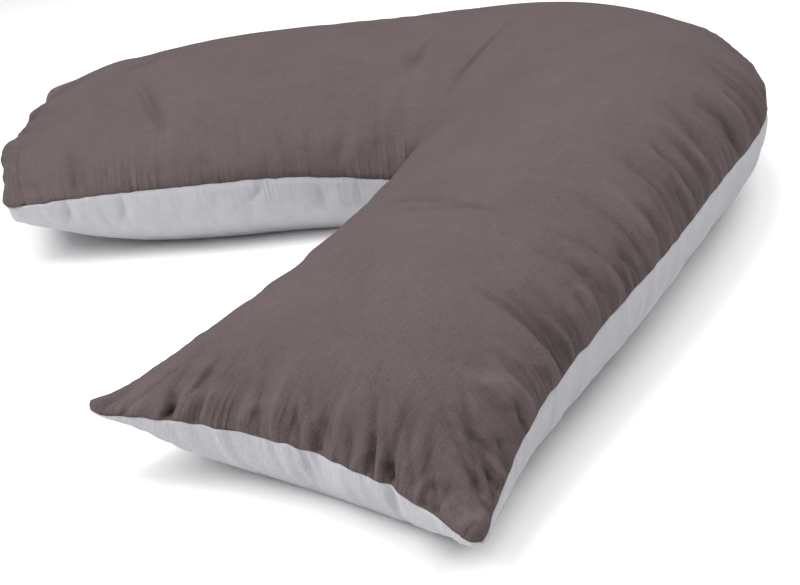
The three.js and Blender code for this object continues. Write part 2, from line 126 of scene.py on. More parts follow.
CROWN_CREASES = (
    (1.21, 0.14, 1.325, 0.43, 9, -6),
    (1.3, 0.16, 1.4, 0.44, 14, 3),
    (1.93, 0.28, 1.82, 0.43, 9, -4),
    (2.0, 0.3, 1.915, 0.43, 11, 3),
    (2.02, 0.05, 1.97, 0.27, 12, 3),
    (-0.105, 0.16, -0.105, 0.24, 8, 2),
    (-0.37, 0.24, -0.415, 0.58, 16, 4),
    (-0.46, 0.34, -0.46, 0.62, 15, -4),
    (2.56, 0.1, 2.625, 0.32, 9, -6),
    (2.59, 0.1, 2.665, 0.32, 10, 4),
    (2.625, 0.07, 2.685, 0.27, 9, -3),
    (2.64, 0.62, 2.69, 0.55, 14, -5),
    (2.71, 0.59, 2.81, 0.67, 16, 6),
    (2.74, 0.56, 2.775, 0.4, 12, 3),
    (2.78, 0.33, 2.9, 0.27, 9, 3),
    (2.815, 0.35, 2.91, 0.34, 9, -3),
)
UNDERSIDE_PUCKERS = (
    (-1.0, 0.54, -0.96, 0.53, 8, -4),
    (-1.0, 0.765, -0.97, 0.75, 8, -3),
    (2.12, 0, 2.125, 0.03, 10, -2),
    (2.205, 0, 2.21, 0.03, 10, -2),
    (2.34, 0, 2.415, 0.02, 11, -3),
    (2.69, 0, 2.72, 0.04, 9, -3),
    (2.84, 0, 2.86, 0.06, 9, -4),
)


class Face(Enum):
    """The two cloths of the cover, by the solid that each stands for."""

    TOP = "top_panel"
    UNDERSIDE = "underside_panel"

    @property
    def up(self) -> int:
        """1 for the top and -1 for the underside."""
        return 1 if self is Face.TOP else -1


@dataclass(frozen=True)
class Arm:
    """One arm of the V, in millimetres.

    Its columns are given at 0, 1/4, 1/2, 3/4 and 1 of its length, and each notch of its end by
    its place across, its half width across and its depth.
    """

    side: int
    length: float
    outer_extra: float
    lean: float
    end_sag: float
    crown_close: float
    belly_close: float
    inner_bow: tuple[float, ...]
    outer_bow: tuple[float, ...]
    inner_seam: tuple[float, ...]
    outer_seam: tuple[float, ...]
    crown: tuple[float, ...]
    belly: tuple[float, ...]
    notches: tuple[tuple[float, float, float], ...]

    def column(self, name: str, along: np.ndarray) -> np.ndarray:
        """A smooth curve through one column.

        Args:
            name: The column's name.
            along: Shares of the arm's length.

        Returns:
            The column's value at each share.
        """
        values = np.array(getattr(self, name), float)
        stretches = len(values) - 1
        i = np.clip((along * stretches).astype(int), 0, stretches - 1)
        p = along * stretches - i
        before = np.where(i > 0, values[np.maximum(i - 1, 0)], values[i + 1])
        after = np.where(i < stretches - 1, values[np.minimum(i + 2, stretches)], values[i])
        wp = np.where(i > 0, 0.5, -0.5)
        wn = np.where(i < stretches - 1, 0.5, -0.5)
        return (
            before * (-wp * p**3 + 2 * wp * p**2 - wp * p)
            + values[i] * ((1 + wp) * p**3 + (-1.5 - 2 * wp) * p**2 + (-0.5 + wp) * p + 1)
            + values[i + 1] * ((-1 - wn) * p**3 + (1.5 + wn) * p**2 + 0.5 * p)
            + after * (wn * p**3 - wn * p**2)
        )


NEAR_ARM = Arm(
    side=1,
    length=432,
    outer_extra=-14,
    lean=0.15,
    end_sag=33,
    crown_close=95,
    belly_close=70,
    inner_bow=(0, -12, -19, -13, 18),
    outer_bow=(0, 0, -5, -9, 0),
    inner_seam=(62, 57, 61, 69, 77),
    outer_seam=(100, 93, 88, 74, 47),
    crown=(96, 87, 80, 66, 38),
    belly=(1.0, 1.0, 0.98, 0.88, 0.64),
    notches=((0.21, 0.02, 2), (0.57, 0.02, 2), (0.765, 0.02, 4), (0.88, 0.02, 2)),
)
FAR_ARM = Arm(
    side=-1,
    length=426,
    outer_extra=10,
    lean=0.24,
    end_sag=-28,
    crown_close=140,
    belly_close=8,
    inner_bow=(0, 2, 2, -7, -15),
    outer_bow=(-2, -4, -5, 2, 10),
    inner_seam=(62, 82, 86, 84, 79),
    outer_seam=(60, 60, 64, 75, 89),
    crown=(98, 98, 94, 76, 60),
    belly=(1.0, 1.0, 1.0, 0.9, 0.44),
    notches=((0.45, 0.025, 3), (0.56, 0.025, 3), (0.74, 0.03, 4)),
)


@dataclass
class Sections:
    """Cross-sections of the pillow, each value an array with a row for each section."""

    inner: np.ndarray
    outer: np.ndarray
    heading: np.ndarray
    inner_seam: np.ndarray
    outer_seam: np.ndarray
    crown: np.ndarray
    belly: np.ndarray
    lean: np.ndarray
    end_share: np.ndarray
    end_sag: np.ndarray
    to_end: np.ndarray
    far: np.ndarray


@dataclass(frozen=True)
class PillowForm:
    """The smooth filled form, in millimetres about the inner corner."""

    arm_width: float = 320
    half_angle: float = math.radians(30)
    apex_reach: float = 0.16
    apex_seam: float = 73
    apex_crown: float = 98
    belly: float = 106
    crown_power: float = 2
    belly_power: float = 2.3
    floor_ease: float = 4
    tip_round: float = 8
    tip_power: float = 12
    notch_power: float = 8
    shoulder_ease: float = 0.1
    eased_to: float = 1.75
    ease_fade: float = 0.5
    ease_samples: int = 11

    def sections(self, ways: np.ndarray) -> Sections:
        """The cross-sections at some ways round the pillow, with the arms eased into the apex.

        Args:
            ways: A way for each section.

        Returns:
            The sections, in the same order.
        """
        inside = np.clip((self.eased_to - np.abs(ways - 1)) / self.ease_fade, 0, 1)
        reach = self.shoulder_ease * inside
        shares = np.linspace(-1, 1, self.ease_samples)
        eased = [self.plain_sections(ways + reach * share) for share in shares]
        values = {
            part.name: sum(getattr(one, part.name) for one in eased) / len(eased)
            for part in fields(Sections)
            if part.name != "far"
        }
        return Sections(**values, far=(ways >= 1)[:, None])

    def plain_sections(self, ways: np.ndarray) -> Sections:
        """The cross-sections at some ways, where each arm meets the apex with a slight bend.

        Args:
            ways: A way for each section.

        Returns:
            The sections, in the same order.
        """
        count = len(ways)
        heights = ("inner_seam", "outer_seam", "crown", "belly")
        shapes = ("lean", "end_share", "end_sag")
        s = Sections(
            **{name: np.zeros((count, 1, 2)) for name in ("inner", "outer", "heading")},
            **{name: np.zeros((count, 1)) for name in heights + shapes},
            to_end=np.full((count, 1), NO_END),
            far=(ways >= 1)[:, None],
        )
        for arm, mask, along in (
            (NEAR_ARM, ways <= 0, -ways),
            (FAR_ARM, ways >= 2, ways - 2),
        ):
            self._fill_arm(s, arm, mask, along[mask])
        for arm, mask, turn in (
            (NEAR_ARM, (ways > 0) & (ways <= 1), ways),
            (FAR_ARM, (ways > 1) & (ways < 2), 2 - ways),
        ):
            self._fill_apex(s, arm, mask, turn[mask])
        return s

    def _fill_arm(self, s: Sections, arm: Arm, mask: np.ndarray, along: np.ndarray) -> None:
        """Fills in the sections of one arm.

        Args:
            s: The sections.
            arm: The arm.
            mask: Which sections lie on it.
            along: Their shares of its length.
        """
        heading = np.array([arm.side * math.sin(self.half_angle), -math.cos(self.half_angle)])
        outwards = np.array([arm.side * math.cos(self.half_angle), math.sin(self.half_angle)])
        reach = along * arm.length
        inner_bow, outer_bow = arm.column("inner_bow", along), arm.column("outer_bow", along)
        s.inner[mask, 0] = reach[:, None] * heading - inner_bow[:, None] * outwards
        s.outer[mask, 0] = (
            (reach + arm.outer_extra * along**2)[:, None] * heading
            + (self.arm_width + outer_bow)[:, None] * outwards
        )
        s.heading[mask, 0] = heading
        to_end = arm.length - reach
        s.inner_seam[mask, 0] = arm.column("inner_seam", along)
        s.outer_seam[mask, 0] = arm.column("outer_seam", along)
        s.crown[mask, 0] = arm.column("crown", along) * self.closing(to_end, arm.crown_close)
        s.belly[mask, 0] = (
            self.belly * arm.column("belly", along) * self.closing(to_end, arm.belly_close)
        )
        s.lean[mask, 0] = arm.lean
        s.end_share[mask, 0] = np.clip(2 * along - 1, 0, 1) ** 2
        s.end_sag[mask, 0] = arm.end_sag
        s.to_end[mask, 0] = to_end

    def _fill_apex(self, s: Sections, arm: Arm, mask: np.ndarray, turn: np.ndarray) -> None:
        """Fills in the sections of one half of the apex.

        Args:
            s: The sections.
            arm: The arm that this half runs into.
            mask: Which sections lie on it.
            turn: 0 at the arm's shoulder and 1 on the middle line.
        """
        angle = self.half_angle + turn * (math.pi / 2 - self.half_angle)
        ease = (1 - np.cos(math.pi * turn)) / 2
        reach = (self.arm_width + arm.outer_bow[0]) * (1 + self.apex_reach * ease)
        s.outer[mask, 0] = np.stack(
            [arm.side * reach * np.cos(angle), reach * np.sin(angle)], axis=1
        )
        s.inner_seam[mask, 0] = arm.inner_seam[0]
        s.outer_seam[mask, 0] = arm.outer_seam[0] + (self.apex_seam - arm.outer_seam[0]) * ease
        s.crown[mask, 0] = arm.crown[0] + (self.apex_crown - arm.crown[0]) * ease
        s.belly[mask, 0] = self.belly
        s.lean[mask, 0] = arm.lean * (1 - turn)

    @staticmethod
    def closing(distance: np.ndarray, length: float) -> np.ndarray:
        """Quarter-round factor that falls from 1 to 0 over the last length before an end."""
        return np.sqrt(np.maximum(0, 1 - np.clip(1 - distance / length, 0, 1) ** 2))

    def sheet(self, s: Sections, across: np.ndarray) -> np.ndarray:
        """Points of the curved sheet in which the seam lies.

        Args:
            s: The sections.
            across: Places across, one for each column or one for each section and column.

        Returns:
            Points, by section and column.
        """
        u = 2 * across - 1
        drawn = s.end_sag * (1 - u * u) + self.tip_round * np.abs(u) ** self.tip_power
        drawn = drawn * s.end_share
        for arm, mine in ((NEAR_ARM, ~s.far), (FAR_ARM, s.far)):
            for place, width, depth in arm.notches:
                dent = depth * np.exp(-(((across - place) / width) ** 2))
                drawn = drawn + dent * s.end_share**self.notch_power * mine
        plan = s.inner + (s.outer - s.inner) * (across + 0 * drawn)[..., None]
        plan = plan - s.heading * drawn[..., None]
        height = s.inner_seam + (s.outer_seam - s.inner_seam) * across
        return np.concatenate([plan, height[..., None]], axis=-1)

    def crown_rise(self, s: Sections, across: np.ndarray) -> np.ndarray:
        """Height of the crowned top above the seam sheet.

        Args:
            s: The sections.
            across: Places across the cloth.

        Returns:
            The heights, a row for each section.
        """
        u = 2 * across - 1
        leaning = np.abs(u - s.lean * (1 - u * u))
        return s.crown * np.sqrt(np.maximum(0, 1 - leaning**self.crown_power))

    def belly_depth(self, s: Sections, across: np.ndarray) -> np.ndarray:
        """Depth of the underside below the seam sheet, before it meets the floor."""
        u = np.abs(2 * across - 1)
        return s.belly * np.sqrt(np.maximum(0, 1 - u**self.belly_power))

    def on_floor(self, height: np.ndarray) -> np.ndarray:
        """Flattens heights on the floor with a short smooth roll.

        Args:
            height: Heights above the floor.

        Returns:
            The heights, none of them below the floor.
        """
        ease = self.floor_ease
        rolled = (np.maximum(height, -ease) + ease) ** 2 / (4 * ease)
        return np.where(height >= ease, height, rolled)

    def points(self, face: Face, s: Sections, across: np.ndarray) -> tuple[np.ndarray, np.ndarray]:
        """Points of one face of the pillow.

        Args:
            face: The face.
            s: The sections.
            across: Places across.

        Returns:
            The points, and how far each lies from the seam sheet.
        """
        points = self.sheet(s, across)
        if face is Face.TOP:
            rise = self.crown_rise(s, across)
            points[..., 2] += rise
            return points, rise
        depth = self.belly_depth(s, across)
        points[..., 2] = np.where(depth > 0, self.on_floor(points[..., 2] - depth), points[..., 2])
        return points, depth


@dataclass(frozen=True)
class Grid:
    """How finely one cloth is laid out in rows round the V and columns across it."""

    arm_rows: int = 164
    apex_rows: int = 110
    columns: int = 170
    end_crowding: float = 1.35
    seam_crowding: float = 0.6
    seam_steps: tuple[float, ...] = (0.15, 0.35, 0.6, 1, 1.5)

    def ways(self) -> np.ndarray:
        """Ways of the rows, crowded where an arm closes at its end.

        Returns:
            The ways, from the near end at -1 to the far end at 3.
        """
        steps = np.concatenate([[0], self.seam_steps, np.arange(2, self.arm_rows + 1)])
        from_end = (steps / self.arm_rows) ** self.end_crowding
        apex = np.arange(1, 2 * self.apex_rows) / self.apex_rows
        return np.concatenate([-(1 - from_end), apex, (3 - from_end)[::-1]])

    def across(self) -> np.ndarray:
        """Places of the columns, crowded beside the seams.

        Returns:
            The places, from the inner seam at 0 to the outer seam at 1.
        """
        half = np.concatenate([[0], self.seam_steps, np.arange(2, self.columns // 2 + 1)])
        even = half / self.columns
        crowded = (1 - np.cos(math.pi * even)) / 2
        near = even + (crowded - even) * self.seam_crowding
        return np.concatenate([near, 1 - near[-2::-1]])


@dataclass(frozen=True)
class Fold:
    """A ridge or trough laid over a face, in millimetres.

    A fold from the seam falls off to its end by 1 - share ** fade, and the factor on its width
    grows from start_width by widening. A free fold swells and fades evenly, at its full width.
    """

    way: float
    across: float
    to_way: float
    to_across: float
    width: float
    rise: float
    beside: float = 0
    seam_ease: float = 16
    samples: int = 13
    sharpness: float = 1.5
    fade: float = 1.5
    start_width: float = 0.65
    widening: float = 0.7
    reach: float = 3

    @property
    def from_seam(self) -> bool:
        """Whether the fold starts at the seam, where it is highest."""
        return self.way in (-1, 3) or self.across in (0, 1)

    def lift(self, form: PillowForm, face: Face, points: np.ndarray) -> np.ndarray:
        """Lift that the fold gives to some points.

        Args:
            form: The smooth form.
            face: The face that the fold lies on.
            points: Points of the smooth face, one a row.

        Returns:
            The lift of each point.
        """
        share = np.linspace(0, 1, self.samples)
        sections = form.sections(self.way + (self.to_way - self.way) * share)
        places = self.across + (self.to_across - self.across) * share
        line = form.points(face, sections, places[:, None])[0][:, 0]
        reach = self.reach * self.width
        near = np.all((points > line.min(0) - reach) & (points < line.max(0) + reach), axis=1)
        lift = np.zeros(len(points))
        lift[near] = self._profile(points[near], line)
        return lift

    def _profile(self, points: np.ndarray, line: np.ndarray) -> np.ndarray:
        """Height of the fold at some points near its line.

        Args:
            points: Points of the smooth face.
            line: Points of the face along the fold, from its start to its end.

        Returns:
            The height at each point.
        """
        starts, steps = line[:-1], np.diff(line, axis=0)
        offsets = points[:, None] - starts[None]
        part = np.einsum("ijk,jk->ij", offsets, steps) / np.maximum((steps**2).sum(1), 1e-12)
        part = np.clip(part, 0, 1)
        away = offsets - part[..., None] * steps[None]
        distance = np.linalg.norm(away, axis=2)
        nearest = distance.argmin(1)
        rows = np.arange(len(points))
        share = (nearest + part[rows, nearest]) / len(steps)
        if self.beside:
            step, apart = steps[nearest], away[rows, nearest]
            side = np.sign(step[:, 0] * apart[:, 1] - step[:, 1] * apart[:, 0])
            distance[rows, nearest] = np.abs(distance[rows, nearest] * side - self.beside)
        if self.from_seam:
            fade = 1 - share**self.fade
            width = self.width * (self.start_width + self.widening * share)
        else:
            fade, width = np.sin(math.pi * share), self.width
        return self.rise * fade * np.exp(-((distance[rows, nearest] / width) ** self.sharpness))


@dataclass(frozen=True)
class FoldStyle:
    """How a fold of the tables is drawn: soft, with a thin sharp line along it, in millimetres.

    The solids have the folds' full depth. Drawn in cloth they look like pits beyond soft_rise.
    A line is deeper along a deep fold, from line_least to line_most, and line_length times as
    long. Along a ridge it runs beside it, line_beside times the ridge's width away.
    """

    soft_width: float = 0.85
    soft_rise: float = 3.6
    line_width: float = 2.3
    line_share: float = 0.5
    line_least: float = 1.4
    line_most: float = 2.6
    line_length: float = 1.5
    line_beside: float = 1.1
    line_ease: float = 2.5
    lined_from: float = 4

    def draw(self, folds: list[Fold]) -> list[Fold]:
        """The soft folds, and a line for each that starts at the seam or is high enough."""
        lined = [fold for fold in folds if fold.from_seam or abs(fold.rise) >= self.lined_from]
        return [self.soft(fold) for fold in folds] + [self.line(fold) for fold in lined]

    def soft(self, fold: Fold) -> Fold:
        """The fold as the filling holds it out, narrower and no deeper than a few millimetres."""
        rise = math.copysign(min(abs(fold.rise), self.soft_rise), fold.rise)
        return replace(fold, width=fold.width * self.soft_width, rise=rise)

    def line(self, fold: Fold) -> Fold:
        """The sharp line in the middle of a trough or beside a ridge.

        Args:
            fold: The trough or the ridge.

        Returns:
            The line, as a fold of its own.
        """
        depth = min(max(abs(fold.rise) * self.line_share, self.line_least), self.line_most)
        side = 1 if int(abs(fold.way * 1000)) % 2 else -1
        beside = side * fold.width * self.soft_width * self.line_beside
        return replace(
            fold,
            to_way=fold.way + (fold.to_way - fold.way) * self.line_length,
            to_across=fold.across + (fold.to_across - fold.across) * self.line_length,
            width=self.line_width,
            rise=-depth,
            beside=0 if fold.rise < 0 else beside,
            seam_ease=self.line_ease,
        )


@dataclass(frozen=True)
class Gathers:
    """Small puckers that the seam draws into a cloth, at uneven places along it.

    Lengths are in millimetres. An end is named by its way, and a side by its across. deep is how
    deep a cloth's gathers are against the usual. Those along the inner seam have inner_share of
    that, those at a corner corner_share, within calm of it, and those of the mouth at_mouth.
    """

    seed: int
    deep: float = 1
    spacing: float = 12
    shortest: float = 10
    longest: float = 62
    narrowest: float = 2.2
    widest: float = 4.2
    shallowest: float = 1.2
    deepest: float = 4.2
    slant: float = 9
    arm_length: float = 430
    outer_apex: float = 672
    cloth_width: float = 320
    inner_share: float = 0.4
    outer_more: float = 0.4
    end_more: float = 1.2
    end_deeper: float = 1.2
    calm: float = 70
    corner_share: float = 1 / 3
    mouth_end: float = 0.44
    at_mouth: float = 0.25
    shorter: float = 1.6
    ridges: float = 0.36
    seam_ease: float = 2.5
    sharpness: float = 1.3

    def folds(self) -> list[Fold]:
        """The gathers of one cloth, all the way round its seam.

        Returns:
            The gathers, those along the sides first.
        """
        rng = np.random.default_rng(self.seed)
        sides = [fold for across in (0, 1) for fold in self._along_side(rng, across)]
        return sides + [fold for way in (-1, 3) for fold in self._along_end(rng, way)]

    def _along_side(self, rng: np.random.Generator, across: int) -> list[Fold]:
        """Gathers along the inner or the outer seam, with none round the inner corner.

        Args:
            rng: The source of the random draws.
            across: 0 for the inner seam, 1 for the outer seam.

        Returns:
            The gathers.
        """
        folds = []
        deep = self.deep * (self.inner_share + (1 - self.inner_share) * across)
        for start, end, length in (
            (-1, 0, self.arm_length),
            (0, 2, self.outer_apex * across),
            (2, 3, self.arm_length),
        ):
            count = int(length / self.spacing * (1 + self.outer_more * across))
            for share in self._places(rng, count):
                way = start + (end - start) * share
                reach, width, rise = self._one(rng, deep)
                turned = way + rng.normal(0, self.slant) * (end - start) / length
                inner = abs(across - reach / self.cloth_width)
                rise *= self._calmed(self.arm_length * (2 - abs(way - 1)))
                folds.append(self._fold(way, across, np.clip(turned, -1, 3), inner, width, rise))
        return folds

    def _along_end(self, rng: np.random.Generator, way: int) -> list[Fold]:
        """Gathers along the near or the far end.

        Args:
            rng: The source of the random draws.
            way: -1 for the near end, 3 for the far end.

        Returns:
            The gathers.
        """
        folds = []
        for across in self._places(rng, int(self.cloth_width / self.spacing * self.end_more)):
            reach, width, rise = self._one(rng, self.deep * self.end_deeper)
            turned = np.clip(across + rng.normal(0, self.slant) / self.cloth_width, 0, 1)
            inner = way + math.copysign(reach / self.arm_length, 1 - way)
            rise *= self._calmed(self.cloth_width * min(across, 1 - across))
            if way > 0 and across < self.mouth_end:
                rise *= self.at_mouth
            folds.append(self._fold(way, across, inner, turned, width, rise))
        return folds

    @staticmethod
    def _places(rng: np.random.Generator, count: int) -> np.ndarray:
        """Uneven shares of a seam, one in each of its equal stretches and off their ends."""
        return (np.arange(count) + rng.uniform(0.1, 0.9, count)) / max(count, 1)

    def _calmed(self, distance: float) -> float:
        """Share of its height that a gather keeps at a distance from a corner."""
        return min(1, distance / self.calm + self.corner_share)

    def _fold(self, *values: float) -> Fold:
        """One gather, which is sharp and starts right at the seam."""
        return Fold(*values, seam_ease=self.seam_ease, sharpness=self.sharpness)

    def _one(self, rng: np.random.Generator, deep: float) -> tuple[float, float, float]:
        """Length, width and rise of one gather, two in three of them troughs.

        Args:
            rng: The source of the random draws.
            deep: What its depth is multiplied by.

        Returns:
            The length, the width and the rise.
        """
        reach = self.shortest + (self.longest - self.shortest) * rng.uniform() ** self.shorter
        width = rng.uniform(self.narrowest, self.widest)
        rise = rng.uniform(self.shallowest, self.deepest) * deep
        return reach, width, rise if rng.uniform() < self.ridges else -rise


@dataclass(frozen=True)
class SeamLine:
    """How the sewn edge wavers, how its corners turn and hang, and the lip of the hem.

    Lengths are in millimetres. The lip stands out by lip at lip_places across, and up by the
    share lip_up of that. Each wave has its own number, which seeds it.
    """

    waver: float = 0.45
    shortest_wave: float = 14
    longest_wave: float = 60
    waves: int = 7
    wave_share: float = 1 / 3
    out_wave: int = 1
    up_wave: int = 5
    end_out_wave: int = 11
    end_up_wave: int = 12
    reach: float = 9
    corner_radius: float = 10
    corner_reach: float = 1
    lip: tuple[float, ...] = (-1, -6, 2, 12)
    lip_places: tuple[float, ...] = (0, 0.15, 0.3, 0.44)
    lip_up: float = 0.6
    lip_reach: float = 14
    lip_end: float = 0.44
    lip_stop: float = 160
    end_waver: float = 2
    tip_drop: float = 7
    tip_spread: float = 130
    corner_drop: float = 4
    corner_spread: float = 35
    drop_ease: float = 40
    tip_hug: float = 0.75
    hug_spread: float = 40
    seed: int = 3

    def wave(self, places: np.ndarray, number: int) -> np.ndarray:
        """An uneven wave along a seam.

        Args:
            places: Distances along the seam.
            number: Which of the waves this is.

        Returns:
            Its heights, about 1 at the most.
        """
        rng = np.random.default_rng(self.seed + number)
        span = math.log(self.longest_wave / self.shortest_wave)
        lengths = self.shortest_wave * np.exp(rng.uniform(0, span, self.waves))
        turns = rng.uniform(0, 2 * math.pi, self.waves)
        sizes = rng.uniform(0.5, 1, self.waves)
        waves = sizes * np.sin(2 * math.pi * places[..., None] / lengths + turns)
        return waves.sum(-1) * self.wave_share

    def shift(self, s: Sections, across: np.ndarray, along: np.ndarray) -> np.ndarray:
        """How far the sewing moves each place of both cloths.

        Args:
            s: The sections.
            across: Places across.
            along: Distances round the V, one for each section.

        Returns:
            Vectors, by section and column.
        """
        span = s.outer - s.inner
        width = np.linalg.norm(span, axis=-1)
        outwards = span / np.maximum(width, 1e-6)[..., None]
        from_inner, from_outer = width * across, width * (1 - across)
        to_end = s.to_end + 0 * from_inner
        moved_out, moved_on, lifted = (np.zeros_like(to_end) for _ in range(3))
        for side, distance in ((-1, from_inner), (1, from_outer)):
            near = np.exp(-distance / self.reach) * self.waver
            out, on = self._corner(distance, to_end)
            moved_out += side * (near * self.wave(along[:, None], side + self.out_wave) + out)
            moved_on += on
            lifted += near * self.wave(along[:, None], side + self.up_wave)
        near = np.exp(-to_end / self.reach) * self.waver * self.end_waver
        lip = self._lip(across, to_end) * s.far
        moved_on += near * self.wave(from_inner, self.end_out_wave) + lip
        lifted += near * self.wave(from_inner, self.end_up_wave) + np.maximum(lip, 0) * self.lip_up
        plan = outwards * moved_out[..., None] + s.heading * moved_on[..., None]
        return np.concatenate([plan, lifted[..., None]], axis=-1)

    def _corner(self, distance: np.ndarray, to_end: np.ndarray) -> tuple[np.ndarray, np.ndarray]:
        """How a corner stands out of the side and the end, and is turned round there.

        Args:
            distance: Distances from the side.
            to_end: Distances from the end.

        Returns:
            How far each place moves out of the side, and out of the end.
        """
        p = np.clip(self.corner_radius - distance, 0, None)
        q = np.clip(self.corner_radius - to_end, 0, None)
        turned = 1 - np.maximum(p, q) / np.maximum(np.hypot(p, q), 1e-6)
        turned = np.where((p > 0) & (q > 0), turned, 0)
        corner = self.corner_reach * np.exp(-np.hypot(distance, to_end) / self.corner_radius)
        return corner - p * turned, corner - q * turned

    def _lip(self, across: np.ndarray, to_end: np.ndarray) -> np.ndarray:
        """How far the hem's lip stands out of the mouth, at places across and near the end.

        Args:
            across: Places across the cloth.
            to_end: Distances from the end.

        Returns:
            The distance at each place.
        """
        covered = 1 / (1 + np.exp((across - self.lip_end) * self.lip_stop))
        out = np.interp(across, self.lip_places, self.lip) * covered
        return out * np.exp(-to_end / self.lip_reach)

    def drop(self, s: Sections, across: np.ndarray) -> np.ndarray:
        """How far both corners of the near end hang down.

        Args:
            s: The sections.
            across: Places across.

        Returns:
            Millimetres, by section and column.
        """
        width = np.linalg.norm(s.outer - s.inner, axis=-1)
        tip = np.hypot(width * across, s.to_end) / self.tip_spread
        corner = np.hypot(width * (1 - across), s.to_end) / self.corner_spread
        fall = self.tip_drop * np.exp(-(tip**2)) + self.corner_drop * np.exp(-(corner**2))
        return fall * ~s.far

    def hug(self, s: Sections, across: np.ndarray) -> np.ndarray:
        """How closely the underside is drawn up to the seam at the near end's inner tip.

        Args:
            s: The sections.
            across: Places across the cloth.

        Returns:
            From 0 where it isn't drawn up to 1 where it lies against the seam sheet.
        """
        width = np.linalg.norm(s.outer - s.inner, axis=-1)
        away = np.hypot(width * across, s.to_end) / self.hug_spread
        return self.tip_hug * np.exp(-(away**2)) * ~s.far


class Wrinkles:
    """Small wrinkles over the closed cover, as heights on a mesh of triangles."""

    SOFTENINGS = 3

    def __init__(self, places: np.ndarray, triangles: np.ndarray, heights: np.ndarray) -> None:
        """Keeps the wrinkles and a tree to find them by place.

        Args:
            places: Points of the smooth cover in metres, one a row.
            triangles: Corners of its triangles.
            heights: Height of the wrinkles at each point, in millimetres.
        """
        self.places, self.triangles, self.heights = places, triangles, heights
        self.tree = BVHTree.FromPolygons(places.tolist(), triangles.tolist())

    def at(self, points: np.ndarray) -> np.ndarray:
        """Heights of the wrinkles at the nearest places to some points.

        Args:
            points: Points of the smooth form in millimetres, by row and column.

        Returns:
            The heights, by row and column.
        """
        found = [self.tree.find_nearest(p) for p in (points.reshape(-1, 3) * MILLIMETRE).tolist()]
        spots = np.array([hit[0][:] for hit in found])
        corners = self.triangles[[hit[2] for hit in found]]
        a, b, c = (self.places[corners[:, k]] for k in range(3))
        normal = np.cross(b - a, c - a)
        area = np.maximum((normal**2).sum(1), 1e-20)
        to_c = (np.cross(b - a, spots - a) * normal).sum(1) / area
        to_b = (np.cross(spots - a, c - a) * normal).sum(1) / area
        shares = np.stack([1 - to_b - to_c, to_b, to_c], axis=1)
        heights = (self.heights[corners] * shares).sum(1).reshape(points.shape[:2])
        for _ in range(self.SOFTENINGS):
            heights = (spread(heights, 0) + spread(heights, 1)) / 2
        return heights


def spread(values: np.ndarray, axis: int) -> np.ndarray:
    """Each value averaged with its two neighbours along one axis, the ends kept.

    Args:
        values: The values of a grid.
        axis: The axis that the neighbours are on, 0 or 1.

    Returns:
        The averaged values.
    """
    before, after = np.roll(values, 1, axis), np.roll(values, -1, axis)
    mixed = (before + 2 * values + after) / 4
    ends = [0, -1]
    if axis == 0:
        mixed[ends] = values[ends]
    else:
        mixed[:, ends] = values[:, ends]
    return mixed


